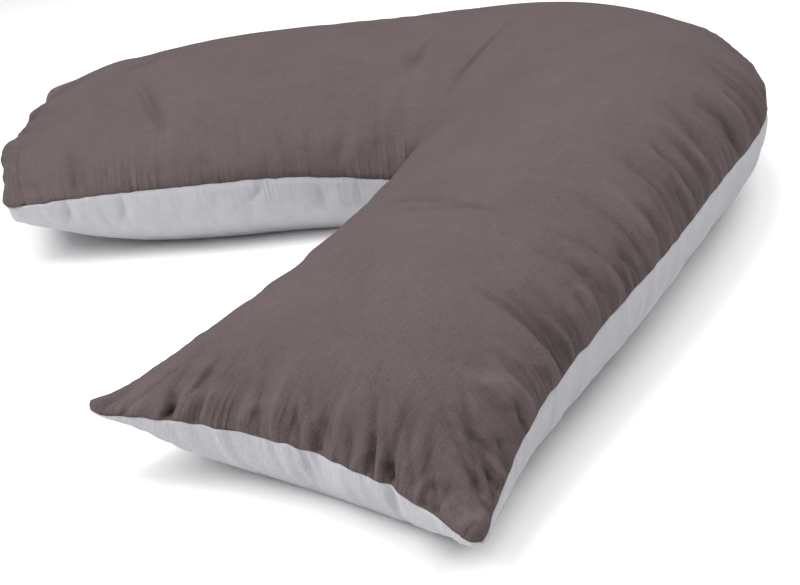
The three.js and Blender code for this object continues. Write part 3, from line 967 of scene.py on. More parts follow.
@dataclass(frozen=True)
class Inflation:
    """Blows up the closed cover as cloth that is a little too long, sewn down at the seam.

    voxel and sewn are in metres, and most, the height that wrinkles are kept under, in
    millimetres.
    """

    form: PillowForm
    grid: Grid = Grid(arm_rows=70, apex_rows=36, columns=60, seam_steps=(0.5, 1))
    voxel: float = 0.0052
    frames: int = 20
    pressure: float = 4
    slack: float = 0.04
    stiffness: float = 15
    bending: float = 0.05
    sewn: float = 0.004
    smoothing: int = 160
    most: float = 6

    def wrinkles(self) -> Wrinkles:
        """Simulates the cover and keeps the wrinkles that are smaller than its main form.

        Returns:
            The wrinkles.
        """
        mesh = self._cover()
        piece = bpy.data.objects.new("cover", mesh)
        bpy.context.scene.collection.objects.link(piece)
        count = len(mesh.vertices)
        places, normals = np.empty(count * 3), np.empty(count * 3)
        mesh.vertices.foreach_get("co", places)
        mesh.vertices.foreach_get("normal", normals)
        places, normals = places.reshape(-1, 3), normals.reshape(-1, 3)
        self._sew(piece, places)
        self._set_cloth(piece)
        for step in range(1, self.frames + 1):
            bpy.context.scene.frame_set(step)
        blown = piece.evaluated_get(bpy.context.evaluated_depsgraph_get()).to_mesh()
        after = np.empty(count * 3)
        blown.vertices.foreach_get("co", after)
        height = ((after.reshape(-1, 3) - places) * normals).sum(1) / MILLIMETRE
        edges = np.empty(len(mesh.edges) * 2, int)
        mesh.edges.foreach_get("vertices", edges)
        height = height - self._smoothed(height, edges.reshape(-1, 2))
        height = self.most * np.tanh(height / self.most)
        mesh.calc_loop_triangles()
        triangles = np.empty(len(mesh.loop_triangles) * 3, int)
        mesh.loop_triangles.foreach_get("vertices", triangles)
        bpy.data.objects.remove(piece)
        bpy.context.scene.frame_set(1)
        return Wrinkles(places, triangles.reshape(-1, 3), height)

    def _cover(self) -> bpy.types.Mesh:
        """The smooth cover as one closed mesh of even faces, in metres about the inner corner.

        Returns:
            The cover's mesh.
        """
        sections = self.form.sections(self.grid.ways())
        points, quads = [], []
        for face in Face:
            placed = self.form.points(face, sections, self.grid.across())[0]
            quads.append(grid_quads(placed.shape, face.up) + sum(len(p) for p in points))
            points.append(placed.reshape(-1, 3) * MILLIMETRE)
        mesh = bpy.data.meshes.new("cover")
        kept, faces = weld(np.concatenate(points), np.concatenate(quads))
        mesh.from_pydata(np.concatenate(points)[kept].tolist(), [], faces)
        piece = bpy.data.objects.new("cover", mesh)
        bpy.context.scene.collection.objects.link(piece)
        even = piece.modifiers.new("even", "REMESH")
        even.mode, even.voxel_size = "VOXEL", self.voxel
        ready = piece.evaluated_get(bpy.context.evaluated_depsgraph_get())
        evened = bpy.data.meshes.new_from_object(ready)
        bpy.data.objects.remove(piece)
        return evened

    def _sew(self, piece: bpy.types.Object, places: np.ndarray) -> None:
        """Holds the cloth along the seam and where it lies on the floor.

        Args:
            piece: The cover.
            places: Its points, in metres.
        """
        grid = Grid()
        sheet = self.form.sheet(self.form.sections(grid.ways()), grid.across()) * MILLIMETRE
        seam = np.concatenate([sheet[:, 0], sheet[:, -1], sheet[0], sheet[-1]])
        tree = KDTree(len(seam))
        for i, point in enumerate(seam.tolist()):
            tree.insert(point, i)
        tree.balance()
        away = np.array([tree.find(point)[2] for point in places.tolist()])
        held = np.clip(2 - away / self.sewn, 0, 1)
        held[places[:, 2] < self.form.floor_ease * MILLIMETRE] = 1
        group = piece.vertex_groups.new(name="held")
        for i in np.flatnonzero(held).tolist():
            group.add([i], float(held[i]), "REPLACE")

    def _set_cloth(self, piece: bpy.types.Object) -> None:
        """Adds the cloth with its pressure, its slack and no gravity.

        Args:
            piece: The cover.
        """
        cloth = piece.modifiers.new("cloth", "CLOTH")
        cloth.point_cache.frame_start, cloth.point_cache.frame_end = 1, self.frames
        cloth.collision_settings.use_collision = False
        settings = cloth.settings
        settings.tension_stiffness = settings.compression_stiffness = self.stiffness
        settings.bending_stiffness = self.bending
        settings.use_pressure = True
        settings.uniform_pressure_force = self.pressure
        settings.effector_weights.gravity = 0
        settings.vertex_group_mass = "held"
        settings.shrink_min = -self.slack

    def _smoothed(self, values: np.ndarray, edges: np.ndarray) -> np.ndarray:
        """Values at the points of a mesh, averaged over and over with their neighbours'.

        Args:
            values: A value for each point.
            edges: The two points of each edge.

        Returns:
            The averaged values.
        """
        count = len(values)
        degree = np.bincount(edges.ravel(), minlength=count)
        for _ in range(self.smoothing):
            near = np.bincount(edges[:, 0], values[edges[:, 1]], count)
            near += np.bincount(edges[:, 1], values[edges[:, 0]], count)
            values = (values + near / degree) / 2
        return values


@dataclass
class Panel:
    """One cloth of the cover, laid over the filling, with its folds and wrinkles.

    Lengths are in millimetres. Each ease is a height above the seam over which something comes
    up, and each inset and offset is counted from the hem's inner edge.
    """

    form: PillowForm
    face: Face
    grid: Grid
    folds: list[Fold]
    wrinkles: Wrinkles | None = None
    seam: SeamLine = field(default_factory=SeamLine)
    seam_ease: float = 6
    ridge_ease: float = 24
    tip_bulge: float = 9
    tip_radius: float = 8
    tip_reach: float = 15
    crown_wrinkles: float = 0.3
    seam_wrinkles: float = 0.8
    seam_reach: float = 60
    groove_depth: float = 1.1
    groove_width: float = 1.5
    groove_side: float = 0.9
    groove_end: float = 4
    panel_gap: float = 0.3
    hem_width: float = 17
    hem_rise: float = 2
    hem_edge: float = 0.4
    hem_crease: float = 2.6
    crease_offset: float = 2
    crease_width: float = 2.5
    stitch_depth: float = 1.2
    stitch_inset: float = 6
    stitch_width: float = 1.3
    sharp_width: float = 4.5
    ways: np.ndarray = field(init=False)
    places: np.ndarray = field(init=False)
    sharp: np.ndarray = field(init=False)

    def __post_init__(self) -> None:
        """Lays out the rows and the columns."""
        self.ways = self.grid.ways()
        self.places = self.grid.across()

    def points(self) -> np.ndarray:
        """Places every point of the cloth.

        Returns:
            Points in millimetres, by row and column.
        """
        sections = self.form.sections(self.ways)
        smooth, rise = self.form.points(self.face, sections, self.places)
        normals = grid_normals(smooth, self.face.up)
        points = smooth + normals * self._lift(smooth, rise)[..., None]
        points = points + self._groove(sections, rise)
        if self.face is Face.TOP:
            points = points + normals * self._hem(sections)[..., None]
            points[..., 2] += self._tip_bulge(sections)
        else:
            below = self.form.sheet(sections, self.places)[..., 2] - smooth[..., 2]
            points[..., 2] += below * self.seam.hug(sections, self.places)
        points = points + self.seam.shift(sections, self.places, self.along())
        drop = self.seam.drop(sections, self.places)
        points[..., 2] -= drop * np.clip(smooth[..., 2] / self.seam.drop_ease, 0, 1)
        points[..., 2] += self.face.up * self.panel_gap / 2 * (rise <= 0)
        return points

    def _lift(self, smooth: np.ndarray, rise: np.ndarray) -> np.ndarray:
        """Lift of the folds and the wrinkles, the sharp ones kept for painted shade and light.

        Args:
            smooth: Points of the smooth form, by row and column.
            rise: How far each lies from the seam sheet.

        Returns:
            The lift of each point.
        """
        flat = smooth.reshape(-1, 3)
        lift = np.zeros_like(rise)
        self.sharp = np.zeros_like(rise)
        for fold in self.folds:
            free = np.clip(rise / fold.seam_ease, 0, 1)
            raised = free * fold.lift(self.form, self.face, flat).reshape(rise.shape)
            lift += raised
            # The sharp folds' lift is kept to paint shade into their troughs and light onto their
            # ridges.
            if fold.width <= self.sharp_width:
                self.sharp += raised
        if self.wrinkles is not None:
            free = np.clip(rise / self.seam_ease, 0, 1)
            gain = np.exp(-rise / self.seam_reach) * (self.seam_wrinkles - self.crown_wrinkles)
            lift += free * self.wrinkles.at(smooth) * (gain + self.crown_wrinkles)
        lift = np.where(lift > 0, lift * np.clip(rise / self.ridge_ease, 0, 1), lift)
        if self.face is Face.UNDERSIDE:
            lift *= np.clip(smooth[..., 2] / self.seam_ease - 1, 0, 1)
        return lift

    def along(self) -> np.ndarray:
        """Distance of each row round the V, on the middle line, in millimetres.

        Returns:
            The distances, from 0 at the near end.
        """
        sections = self.form.sections(self.ways)
        middle = (sections.inner + sections.outer)[:, 0] / 2
        steps = np.linalg.norm(np.diff(middle, axis=0), axis=1)
        return np.concatenate([[0], np.cumsum(steps)])

    def _tip_bulge(self, sections: Sections) -> np.ndarray:
        """How the filling rounds out the cloth at the tips.

        Args:
            sections: The sections of the grid's rows.

        Returns:
            The distance that each point of the grid is moved by.
        """
        width = np.linalg.norm(sections.outer - sections.inner, axis=-1)
        from_side = width * np.minimum(self.places, 1 - self.places)
        from_edge = np.minimum(from_side, sections.to_end)
        away = np.hypot(from_side, sections.to_end)
        dome = PillowForm.closing(from_edge, self.tip_radius)
        return self.tip_bulge * dome * np.exp(-((away / self.tip_reach) ** 2))

    def _hem(self, sections: Sections) -> np.ndarray:
        """Height of the doubled hem along the mouth, with its row of stitches drawn in.

        Args:
            sections: The sections of the grid's rows.

        Returns:
            The height at each point of the grid.
        """
        to_end, covered = sections.to_end, self.places < self.seam.lip_end
        inside = to_end - self.hem_width
        band = 1 / (1 + np.exp(inside / self.hem_edge))
        stitched = np.exp(-(((inside + self.stitch_inset) / self.stitch_width) ** 2))
        drawn_in = np.exp(-(((inside - self.crease_offset) / self.crease_width) ** 2))
        lowered = stitched * self.stitch_depth + drawn_in * self.hem_crease
        return sections.far * covered * (band * self.hem_rise - lowered)

    def _groove(self, sections: Sections, rise: np.ndarray) -> np.ndarray:
        """How the seam draws the cloth in beside it.

        Args:
            sections: The sections of the grid's rows.
            rise: How far the smooth face is from the seam sheet.

        Returns:
            The way that each point of the grid is moved.
        """
        outwards = sections.outer - sections.inner
        outwards = outwards / np.linalg.norm(outwards, axis=-1, keepdims=True)
        side = 2 * self.places - 1
        beside = np.sign(side) * (np.abs(side) > self.groove_side)
        pull = beside[None, :, None] * outwards
        at_end = np.exp(-((sections.to_end / self.groove_end) ** 2))
        pull = pull + sections.heading * at_end[..., None]
        size = np.linalg.norm(pull, axis=-1, keepdims=True)
        pull = pull / np.maximum(size, 1)
        depth = self.groove_depth * np.exp(-((rise / self.groove_width) ** 2))
        return np.concatenate([-pull * depth[..., None], np.zeros_like(rise)[..., None]], axis=-1)

    def marks(self) -> dict[str, np.ndarray]:
        """Places in the flat cloth and along its seams, for the finish, in metres.

        Returns:
            By attribute, vectors by row and column: cut is the place in the flat cloth. along is
            the distance along the sides, that along the ends, and 1 or -1 millimetre by the
            face. edge is the distance from the sides, that from the ends, and the lift of the
            sharp folds, which paints shade in their troughs and light on their ridges.
        """
        sections = self.form.sections(self.ways)
        smooth = self.form.points(self.face, sections, self.places)[0]
        steps = np.linalg.norm(np.diff(smooth, axis=1), axis=2)
        arc = np.concatenate([np.zeros((len(steps), 1)), np.cumsum(steps, axis=1)], axis=1)
        outwards = sections.outer - sections.inner
        outwards = outwards / np.linalg.norm(outwards, axis=-1, keepdims=True)
        middle = (sections.inner + sections.outer) / 2
        flat = middle + outwards * (arc - arc[:, -1:] / 2)[..., None]
        zero = np.zeros_like(arc)
        round_v = np.linalg.norm(np.diff(smooth, axis=0), axis=2)
        row_steps = np.concatenate([np.zeros((1, arc.shape[1])), np.cumsum(round_v, axis=0)])
        from_side = np.minimum(arc, arc[:, -1:] - arc)
        from_end = np.minimum(row_steps, row_steps[-1:] - row_steps)
        along = self.along()[:, None] + zero
        marks = {
            "cut": (flat[..., 0], flat[..., 1], zero),
            "along": (along, arc, zero + self.face.up),
            "edge": (from_side, from_end, self.sharp),
        }
        return {name: np.stack(parts, axis=-1) * MILLIMETRE for name, parts in marks.items()}

    def build(self, name: str) -> bpy.types.Object:
        """Makes the cloth's mesh.

        Args:
            name: The piece's name.

        Returns:
            The new object.
        """
        placed = self.points() * MILLIMETRE + np.array(INNER_CORNER)
        mesh = grid_mesh(name, placed, self.marks(), self.face.up)
        piece = bpy.data.objects.new(name, mesh)
        bpy.context.scene.collection.objects.link(piece)
        return piece


def grid_normals(points: np.ndarray, up: int) -> np.ndarray:
    """Directions out of a face at each point of its grid.

    Args:
        points: Points, by row and column.
        up: 1 if the face looks up and -1 if it looks down.

    Returns:
        Unit vectors, by row and column.
    """
    rows = np.concatenate([points[:1], points, points[-1:]])
    columns = np.concatenate([points[:, :1], points, points[:, -1:]], axis=1)
    normals = np.cross(rows[2:] - rows[:-2], columns[:, 2:] - columns[:, :-2])
    normals /= np.maximum(np.linalg.norm(normals, axis=2, keepdims=True), 1e-9)
    return np.where(normals[..., 2:] * up < 0, -normals, normals)


def grid_quads(shape: tuple[int, ...], up: int) -> np.ndarray:
    """Corners of the faces between the rows and columns of a grid.

    Args:
        shape: How many rows and columns there are.
        up: 1 if the face looks up and -1 if it looks down.

    Returns:
        Four corners for each face.
    """
    index = np.arange(shape[0] * shape[1]).reshape(shape[:2])
    a, b, c, d = index[:-1, :-1], index[1:, :-1], index[1:, 1:], index[:-1, 1:]
    return np.stack([a, d, c, b] if up > 0 else [a, b, c, d], axis=-1).reshape(-1, 4)


def weld(points: np.ndarray, quads: np.ndarray) -> tuple[np.ndarray, list[list[int]]]:
    """Joins the points that lie together, and drops the faces that this closes up.

    Args:
        points: Points in metres, one a row.
        quads: Four corners for each face.

    Returns:
        The points to keep, and the faces between them.
    """
    keys = np.round(points / (WELD * MILLIMETRE)).astype(np.int64)
    _, kept, joined = np.unique(keys, axis=0, return_index=True, return_inverse=True)
    faces = []
    for quad in joined.reshape(-1)[quads].tolist():
        face = [v for i, v in enumerate(quad) if v != quad[i - 1]]
        if len(face) > 2 and len(set(face)) == len(face):
            faces.append(face)
    return kept, faces


def grid_mesh(
    name: str, points: np.ndarray, marks: dict[str, np.ndarray], up: int
) -> bpy.types.Mesh:
    """A smooth mesh over a grid of points, with vectors for the finish as its attributes.

    Args:
        name: The mesh's name.
        points: Points in metres, by row and column.
        marks: Vectors by row and column, by the attribute's name.
        up: 1 if the face looks up and -1 if it looks down.

    Returns:
        The mesh.
    """
    kept, faces = weld(points.reshape(-1, 3), grid_quads(points.shape, up))
    mesh = bpy.data.meshes.new(name)
    mesh.from_pydata(points.reshape(-1, 3)[kept].tolist(), [], faces)
    mesh.validate()
    for label, vectors in marks.items():
        attribute = mesh.attributes.new(label, "FLOAT_VECTOR", "POINT")
        attribute.data.foreach_set("vector", vectors.reshape(-1, 3)[kept].ravel())
    mesh.shade_smooth()
    return mesh


class Sums:
    """Writes arithmetic as nodes of a material or a group."""

    def __init__(self, tree: bpy.types.NodeTree) -> None:
        """Keeps the tree that the nodes go into."""
        self.tree = tree

    def new(self, kind: str, *values: "bpy.types.NodeSocket | float") -> bpy.types.Node:
        """A node of one kind, with values given to its first inputs in their order.

        Args:
            kind: The node's type.
            values: Numbers, or outputs of other nodes.

        Returns:
            The node.
        """
        node = self.tree.nodes.new(kind)
        for socket, value in zip(node.inputs, values):
            self.put(socket, value)
        return node

    def put(self, socket: bpy.types.NodeSocket, value: "bpy.types.NodeSocket | float") -> None:
        """Links a value to a socket, or sets it there if it is a number.

        Args:
            socket: The input that takes the value.
            value: A number, or an output of another node.
        """
        if isinstance(value, (int, float)):
            socket.default_value = value
        else:
            self.tree.links.new(value, socket)

    def math(self, kind: str, *values: "bpy.types.NodeSocket | float") -> bpy.types.NodeSocket:
        """The result of a Math node of one kind.

        Args:
            kind: The node's operation.
            values: Numbers, or outputs of other nodes.

        Returns:
            The node's output.
        """
        node = self.new("ShaderNodeMath", *values)
        node.operation = kind
        return node.outputs[0]

    def split(self, vector: bpy.types.NodeSocket) -> bpy.types.NodeOutputs:
        """The X, Y and Z of a vector."""
        return self.new("ShaderNodeSeparateXYZ", vector).outputs

    def attribute(self, label: str) -> bpy.types.NodeSocket:
        """The vector of one of the mesh's attributes.

        Args:
            label: The attribute's name.

        Returns:
            The node's output.
        """
        node = self.new("ShaderNodeAttribute")
        node.attribute_name = label
        return node.outputs["Vector"]

    def place(
        self, effect: "Effect", **inputs: "bpy.types.NodeSocket | float"
    ) -> bpy.types.NodeOutputs:
        """Puts an effect into the tree.

        Args:
            effect: The effect.
            inputs: Sockets or numbers for its inputs, by name.

        Returns:
            Its outputs.
        """
        node = self.new("ShaderNodeGroup")
        node.node_tree = effect.group()
        for label, value in inputs.items():
            self.put(node.inputs[label], value)
        return node.outputs

    def noise(
        self, place: bpy.types.NodeSocket, stretch: tuple[float, float, float], detail: float
    ) -> bpy.types.NodeSocket:
        """Noise over a place stretched along its axes.

        Args:
            place: The vector socket.
            stretch: Cells a metre along each axis.
            detail: Octaves of the noise.

        Returns:
            The noise, about 0 to 1.
        """
        scaled = self.new("ShaderNodeVectorMath", place)
        scaled.operation = "MULTIPLY"
        scaled.inputs[1].default_value = stretch
        noise = self.new("ShaderNodeTexNoise", scaled.outputs[0])
        noise.inputs["Scale"].default_value = 1
        noise.inputs["Detail"].default_value = detail
        return noise.outputs["Fac"]

    def vary(
        self,
        noise: bpy.types.NodeSocket,
        amount: "bpy.types.NodeSocket | float",
        about: "bpy.types.NodeSocket | float",
    ) -> bpy.types.NodeSocket:
        """A value moved up and down by a noise of 0 to 1."""
        return self.math("MULTIPLY_ADD", self.math("SUBTRACT", noise, 0.5), amount, about)


class Effect:
    """A shader node group with named inputs and outputs, which is built once."""

    name: ClassVar[str]
    inputs: ClassVar[dict[str, str]]
    outputs: ClassVar[tuple[str, ...]]

    def group(self) -> bpy.types.NodeTree:
        """The group, which is made the first time.

        Returns:
            The node group.
        """
        if self.name in bpy.data.node_groups:
            return bpy.data.node_groups[self.name]
        group = bpy.data.node_groups.new(self.name, "ShaderNodeTree")
        for label, kind in self.inputs.items():
            group.interface.new_socket(label, in_out="INPUT", socket_type=kind)
        for label in self.outputs:
            group.interface.new_socket(label, in_out="OUTPUT", socket_type=NUMBER)
        given = group.nodes.new("NodeGroupInput").outputs
        results = self.results(Sums(group), given)
        target = group.nodes.new("NodeGroupOutput")
        for label in self.outputs:
            group.links.new(results[label], target.inputs[label])
        return group

    def results(
        self, sums: Sums, given: bpy.types.NodeOutputs
    ) -> dict[str, bpy.types.NodeSocket]:
        """Lays out the nodes of the effect.

        Args:
            sums: Writes them into the group.
            given: The group's inputs, by name.

        Returns:
            The value of each of its outputs, by name.
        """
        raise NotImplementedError


@dataclass(frozen=True)
class PlainWeave(Effect):
    """The height of a plain weave, where each thread goes over and under its neighbours."""

    name = "plain_weave"
    inputs = {"Place": VECTOR, "Thread": NUMBER}
    outputs = ("Height",)
    dip: float = 0.5

    def results(
        self, sums: Sums, given: bpy.types.NodeOutputs
    ) -> dict[str, bpy.types.NodeSocket]:
        """The height of the thread on top, warp or weft by turns.

        Args:
            sums: The sums of the group's node tree.
            given: The group's inputs.

        Returns:
            The results, each under the label of its output.
        """
        place = sums.split(given["Place"])
        turn = sums.math("DIVIDE", math.pi, given["Thread"])
        warp = sums.math("SINE", sums.math("MULTIPLY", place["X"], turn))
        weft = sums.math("SINE", sums.math("MULTIPLY", place["Y"], turn))
        over = sums.math("GREATER_THAN", sums.math("MULTIPLY", warp, weft), 0)
        warp, weft = sums.math("ABSOLUTE", warp), sums.math("ABSOLUTE", weft)
        warp_up, weft_up = (
            sums.math("MULTIPLY", own, sums.math("MULTIPLY_ADD", other, 1 - self.dip, self.dip))
            for own, other in ((warp, weft), (weft, warp))
        )
        under = sums.math("SUBTRACT", 1, over)
        shown = [sums.math("MULTIPLY", *pair) for pair in ((over, warp_up), (under, weft_up))]
        return {"Height": sums.math("ADD", *shown)}


@dataclass(frozen=True)
class UnevenYarn(Effect):
    """The tone of the yarn, uneven along warp and weft, in small specks and a few dark flecks.

    Sizes are in cells a metre. rare is how low the noise of the flecks has to be for one.
    """

    name = "uneven_yarn"
    inputs = {"Place": VECTOR, "Slub": NUMBER, "Specks": NUMBER, "Flecks": NUMBER}
    outputs = ("Tone",)
    across_yarn: float = 1500
    along_yarn: float = 70
    speck: float = 1100
    patch: float = 16
    patchy: float = 0.5
    fleck: float = 330
    rare: float = 0.21

    def results(
        self, sums: Sums, given: bpy.types.NodeOutputs
    ) -> dict[str, bpy.types.NodeSocket]:
        """The tone, from 0 for the darkest to 1 for the lightest yarn.

        Args:
            sums: The sums of the group's node tree.
            given: The group's inputs.

        Returns:
            The results, each under the label of its output.
        """
        place = given["Place"]
        warp = sums.noise(place, (self.across_yarn, self.along_yarn, 1), 2)
        weft = sums.noise(place, (self.along_yarn, self.across_yarn, 1), 2)
        specks = sums.noise(place, (self.speck, self.speck, 1), 1)
        patches = sums.noise(place, (self.patch, self.patch, 1), 3)
        flecks = sums.noise(place, (self.fleck, self.fleck, 1), 0)
        yarn = sums.math("MULTIPLY", sums.math("ADD", warp, weft), 0.5)
        tone = sums.vary(yarn, given["Slub"], 0.5)
        tone = sums.vary(specks, given["Specks"], tone)
        tone = sums.vary(patches, self.patchy, tone)
        dark = sums.math("MULTIPLY", sums.math("LESS_THAN", flecks, self.rare), given["Flecks"])
        tone = sums.math("SUBTRACT", tone, dark)
        return {"Tone": sums.math("MINIMUM", sums.math("MAXIMUM", tone, 0), 1)}


@dataclass(frozen=True)
class SeamPleats(Effect):
    """The finest pleats, which start at a seam and fade a few centimetres in.

    The noise has pleats cells a metre along the seam and sway across it. apart sets the two
    faces apart in it. fade is in metres, and calm is 1 over the length in metres that is free
    of pleats at a corner. The second output is painted shade and light: darker in the troughs of
    the pleats and of the sharp folds of the cloth and lighter on their crests, these by folds.
    """

    name = "seam_pleats"
    inputs = {"Along": VECTOR, "Edge": VECTOR}
    outputs = ("Height", "Shade")
    pleats: float = 230
    sway: float = 9
    patch: float = 22
    apart: float = 9000
    fade: float = 0.028
    calm: float = 16
    height: float = 2.5
    # Gain of the painted shade and light along the sharp folds.
    folds: float = 55

    def results(
        self, sums: Sums, given: bpy.types.NodeOutputs
    ) -> dict[str, bpy.types.NodeSocket]:
        """The pleats' height, and the painted shade and light of the pleats and the sharp folds.

        Args:
            sums: The sums of the group's node tree.
            given: The group's inputs.

        Returns:
            The results, each under the label of its output.
        """
        along, edge = sums.split(given["Along"]), sums.split(given["Edge"])
        pleats = []
        for axis, other in (("X", "Y"), ("Y", "X")):
            place = sums.new("ShaderNodeCombineXYZ", along[axis], edge[axis], along["Z"])
            noise = sums.noise(place.outputs[0], (self.pleats, self.sway, self.apart), 2)
            patches = sums.noise(place.outputs[0], (self.patch, self.patch, self.apart), 0)
            present = sums.math("MULTIPLY", patches, patches)
            pleat = sums.math("MULTIPLY", sums.math("SUBTRACT", noise, 0.5), present)
            away = sums.math("EXPONENT", sums.math("DIVIDE", edge[axis], -self.fade))
            free = sums.math("MINIMUM", sums.math("MULTIPLY", edge[other], self.calm), 1)
            pleats.append(sums.math("MULTIPLY", pleat, sums.math("MULTIPLY", away, free)))
        height = sums.math("MULTIPLY", sums.math("ADD", *pleats), self.height)
        # Painted shade and light: the pleats' height and the sharp folds' lift darken the colour
        # in troughs and lighten it on crests.
        painted_shade = sums.math("MULTIPLY_ADD", edge["Z"], self.folds, height)
        return {"Height": height, "Shade": painted_shade}


@dataclass(frozen=True)
class CottonFinish:
    """A plain woven cotton, with colours in linear light and sizes in metres."""

    name: str
    slot: str
    colour: tuple[float, float, float]
    uneven: float = 0.26
    slub: float = 2
    specks: float = 1.8
    flecks: float = 0.25
    thread: float = 0.0005
    weave_height: float = 0.00011
    pleat_height: float = 0.005
    # How strongly troughs of the pleats and sharp folds are painted darker and crests lighter in
    # the base colour.
    painted_shade_gain: float = 3
    roughness: float = 0.9
    sheen: float = 0.02
    sheen_roughness: float = 0.5
    specular: float = 0.12

    def material(self) -> bpy.types.Material:
        """The cloth's material.

        Returns:
            The new material.
        """
        material = bpy.data.materials.new(self.name)
        material.use_nodes = True
        sums = Sums(material.node_tree)
        cut, along, edge = (sums.attribute(label) for label in ("cut", "along", "edge"))
        weave = sums.place(PlainWeave(), Place=cut, Thread=self.thread)
        yarn = sums.place(
            UnevenYarn(), Place=cut, Slub=self.slub, Specks=self.specks, Flecks=self.flecks
        )
        pleats = sums.place(SeamPleats(), Along=along, Edge=edge)
        # Painted shade and light of the pleats and the sharp folds, added to the yarn's own tone
        # for the base colour.
        tone = sums.math("MULTIPLY_ADD", pleats["Shade"], self.painted_shade_gain, yarn["Tone"])
        tone.node.use_clamp = True
        heights = [
            sums.math("MULTIPLY", outputs["Height"], height)
            for outputs, height in ((weave, self.weave_height), (pleats, self.pleat_height))
        ]
        surface = material.node_tree.nodes["Principled BSDF"].inputs
        sums.put(surface["Base Color"], self._colour(sums, tone))
        sums.put(surface["Normal"], self._normal(sums, sums.math("ADD", *heights)))
        surface["Roughness"].default_value = self.roughness
        surface["Specular IOR Level"].default_value = self.specular
        surface["Sheen Weight"].default_value = self.sheen
        surface["Sheen Roughness"].default_value = self.sheen_roughness
        return material

    def _colour(self, sums: Sums, tone: bpy.types.NodeSocket) -> bpy.types.NodeSocket:
        """The cloth's colour by the tone: the yarn's own tone with painted shade and light added.

        Args:
            sums: The sums of the material's node tree.
            tone: The yarn's tone with the painted shade and light, from 0 to 1.

        Returns:
            The colour.
        """
        mix = sums.new("ShaderNodeMix")
        mix.data_type = "RGBA"
        for label, share in (("A", 1 - self.uneven), ("B", 1 + self.uneven)):
            mix.inputs[label].default_value = (*(part * share for part in self.colour), 1)
        sums.put(mix.inputs["Factor"], tone)
        return mix.outputs["Result"]

    @staticmethod
    def _normal(sums: Sums, height: bpy.types.NodeSocket) -> bpy.types.NodeSocket:
        """The surface's normal, tilted by a height in metres.

        Args:
            sums: The sums of the material's node tree.
            height: The height.

        Returns:
            The normal.
        """
        bump = sums.new("ShaderNodeBump")
        bump.inputs["Distance"].default_value = 1
        sums.put(bump.inputs["Height"], height)
        return bump.outputs["Normal"]


# Both cloths paint shade and light along their pleats and sharp folds, the grey one at a third of
# the strength.
TAUPE = CottonFinish("taupe_cotton", "taupe_cotton", (0.09, 0.068, 0.068))
PALE_GREY = CottonFinish(
    "pale_grey_cotton",
    "pale_grey_cotton",
    (0.428, 0.423, 0.449),
    uneven=0.12,
    flecks=0,
    pleat_height=0.0015,
    painted_shade_gain=1,
)


@dataclass(frozen=True)
class Cloth:
    """One cloth of the cover: its piece's name, its face, its finish, its folds and gathers."""

    name: str
    face: Face
    finish: CottonFinish
    folds: tuple[tuple[float, ...], ...]
    gathers: Gathers


TAUPE_CLOTH = Cloth(
    "taupe_cloth",
    Face.TOP,
    TAUPE,
    END_PUCKERS + OUTER_PUCKERS + FAR_PUCKERS + CROWN_CREASES,
    Gathers(seed=11),
)
PALE_GREY_CLOTH = Cloth(
    "pale_grey_cloth",
    Face.UNDERSIDE,
    PALE_GREY,
    UNDERSIDE_PUCKERS,
    Gathers(seed=15, deep=0.3),
)


@dataclass
class Pillow:
    """The dressed pillow: its cloths laid over one filled form."""

    form: PillowForm
    cloths: tuple[Cloth, ...]
    grid: Grid = Grid()
    style: FoldStyle = FoldStyle()

    def build(self) -> list[bpy.types.Object]:
        """Makes the cloths, with wrinkles that are simulated once for all of them."""
        wrinkles = Inflation(self.form).wrinkles()
        return [self._lay(cloth, wrinkles) for cloth in self.cloths]

    def _lay(self, cloth: Cloth, wrinkles: Wrinkles | None) -> bpy.types.Object:
        """Makes one cloth, hangs it on the body and hides the solid that it stands for.

        Args:
            cloth: The cloth.
            wrinkles: The wrinkles, if they are simulated.

        Returns:
            The piece.
        """
        folds = self.style.draw([Fold(*row) for row in cloth.folds]) + cloth.gathers.folds()
        piece = Panel(self.form, cloth.face, self.grid, folds, wrinkles).build(cloth.name)
        piece.data.materials.append(cloth.finish.material())
        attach(piece, BODY)
        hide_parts(cloth.face.value)
        return piece


@dataclass(frozen=True)
class SoftLight:
    """A square area light: azimuth and height in degrees, size in metres and power in watts."""

    name: str
    azimuth: float
    height: float
    size: float
    power: float

    def build(self, distance: float) -> None:
        """Hangs the light at a distance from the middle of the floor, turned to face it.

        Args:
            distance: The distance in metres.
        """
        turn, rise = math.radians(self.azimuth), math.radians(self.height)
        flat = math.cos(rise)
        away = Vector((math.cos(turn) * flat, math.sin(turn) * flat, math.sin(rise)))
        data = bpy.data.lights.new(self.name, "AREA")
        data.size, data.energy = self.size, self.power
        light = bpy.data.objects.new(self.name, data)
        light.location = away * distance
        light.rotation_euler = (-away).to_track_quat("-Z", "Y").to_euler()
        bpy.context.scene.collection.objects.link(light)


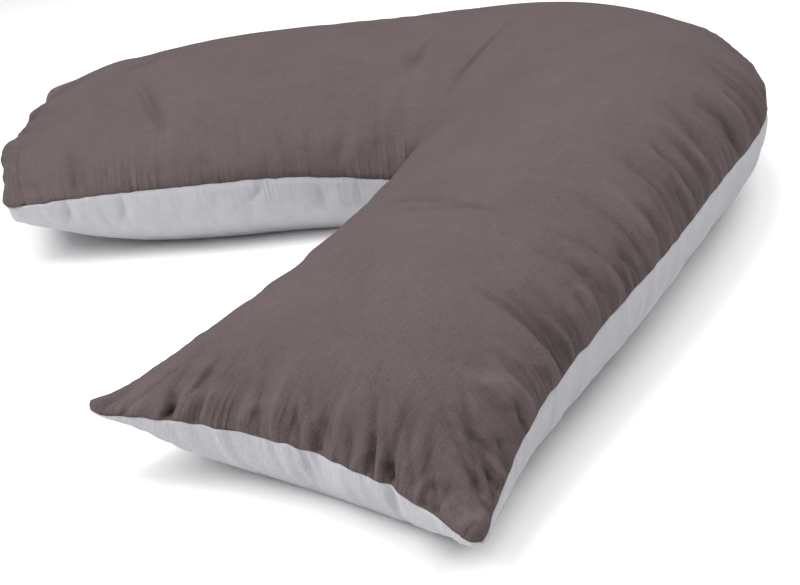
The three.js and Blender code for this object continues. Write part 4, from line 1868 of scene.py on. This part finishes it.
@dataclass(frozen=True)
class Studio:
    """A white sweep of floor, soft lights and the camera, which aren't part of the pillow."""

    eye: tuple[float, float, float] = (1.03023, -0.4273, 0.5608)
    target: tuple[float, float, float] = (0.20303, -0.1039, 0.0636)
    roll: float = math.radians(-10.467)
    lens: float = 55.323
    sensor: float = 36
    floor_size: float = 14
    floor_drop: float = 0.0004
    floor_white: float = 0.87
    floor_roughness: float = 0.9
    floor_specular: float = 0.2
    surround: float = 0.02
    light_distance: float = 2.5
    lights: tuple[SoftLight, ...] = (
        SoftLight("left", -90, 60, 1.8, 58),
        SoftLight("low_left", -90, 30, 1.8, 22),
        SoftLight("right", 45, 60, 1.8, 58),
        SoftLight("back", 135, 30, 1.8, 5),
        SoftLight("top", 0, 89, 0.6, 18),
    )

    def build(self) -> None:
        """Makes the camera, the floor, the lights and the surround."""
        self._camera()
        self._floor()
        for light in self.lights:
            light.build(self.light_distance)
        self._surround()

    def _camera(self) -> None:
        """The camera at the height and the angle from which the pillow is seen."""
        data = bpy.data.cameras.new("camera")
        data.sensor_width, data.lens = self.sensor, self.lens
        data.clip_start, data.clip_end = 0.01, 100
        camera = bpy.data.objects.new("camera", data)
        forward = (Vector(self.target) - Vector(self.eye)).normalized()
        right = forward.cross(Vector((0, 0, 1))).normalized()
        up = right.cross(forward)
        turned_right = math.cos(self.roll) * right + math.sin(self.roll) * up
        turned_up = math.cos(self.roll) * up - math.sin(self.roll) * right
        axes = Matrix((turned_right, turned_up, -forward)).transposed().to_4x4()
        camera.matrix_world = Matrix.Translation(self.eye) @ axes
        bpy.context.scene.collection.objects.link(camera)
        bpy.context.scene.camera = camera

    def _floor(self) -> None:
        """A plain white floor, a hair below the pillow."""
        half = self.floor_size / 2
        mesh = bpy.data.meshes.new("floor")
        corners = [(-half, -half), (half, -half), (half, half), (-half, half)]
        mesh.from_pydata([(x, y, -self.floor_drop) for x, y in corners], [], [(0, 1, 2, 3)])
        floor = bpy.data.objects.new("floor", mesh)
        material = bpy.data.materials.new("white_floor")
        material.use_nodes = True
        surface = material.node_tree.nodes["Principled BSDF"].inputs
        surface["Base Color"].default_value = (*[self.floor_white] * 3, 1)
        surface["Roughness"].default_value = self.floor_roughness
        surface["Specular IOR Level"].default_value = self.floor_specular
        mesh.materials.append(material)
        bpy.context.scene.collection.objects.link(floor)

    def _surround(self) -> None:
        """A faint even light from all round, and plain display colours."""
        world = bpy.data.worlds.new("surround")
        world.use_nodes = True
        background = world.node_tree.nodes["Background"].inputs
        background["Color"].default_value = (1, 1, 1, 1)
        background["Strength"].default_value = self.surround
        bpy.context.scene.world = world
        bpy.context.scene.view_settings.view_transform = "Standard"


def main() -> None:
    """Builds the studio and the pillow, and reports each piece."""
    Studio().build()
    pillow = Pillow(PillowForm(), (TAUPE_CLOTH, PALE_GREY_CLOTH))
    for piece in pillow.build():
        log.info("%s: %d faces", piece.name, len(piece.data.polygons))


if __name__ == "__main__":
    logging.basicConfig(level=logging.INFO, format="%(message)s")
    main()
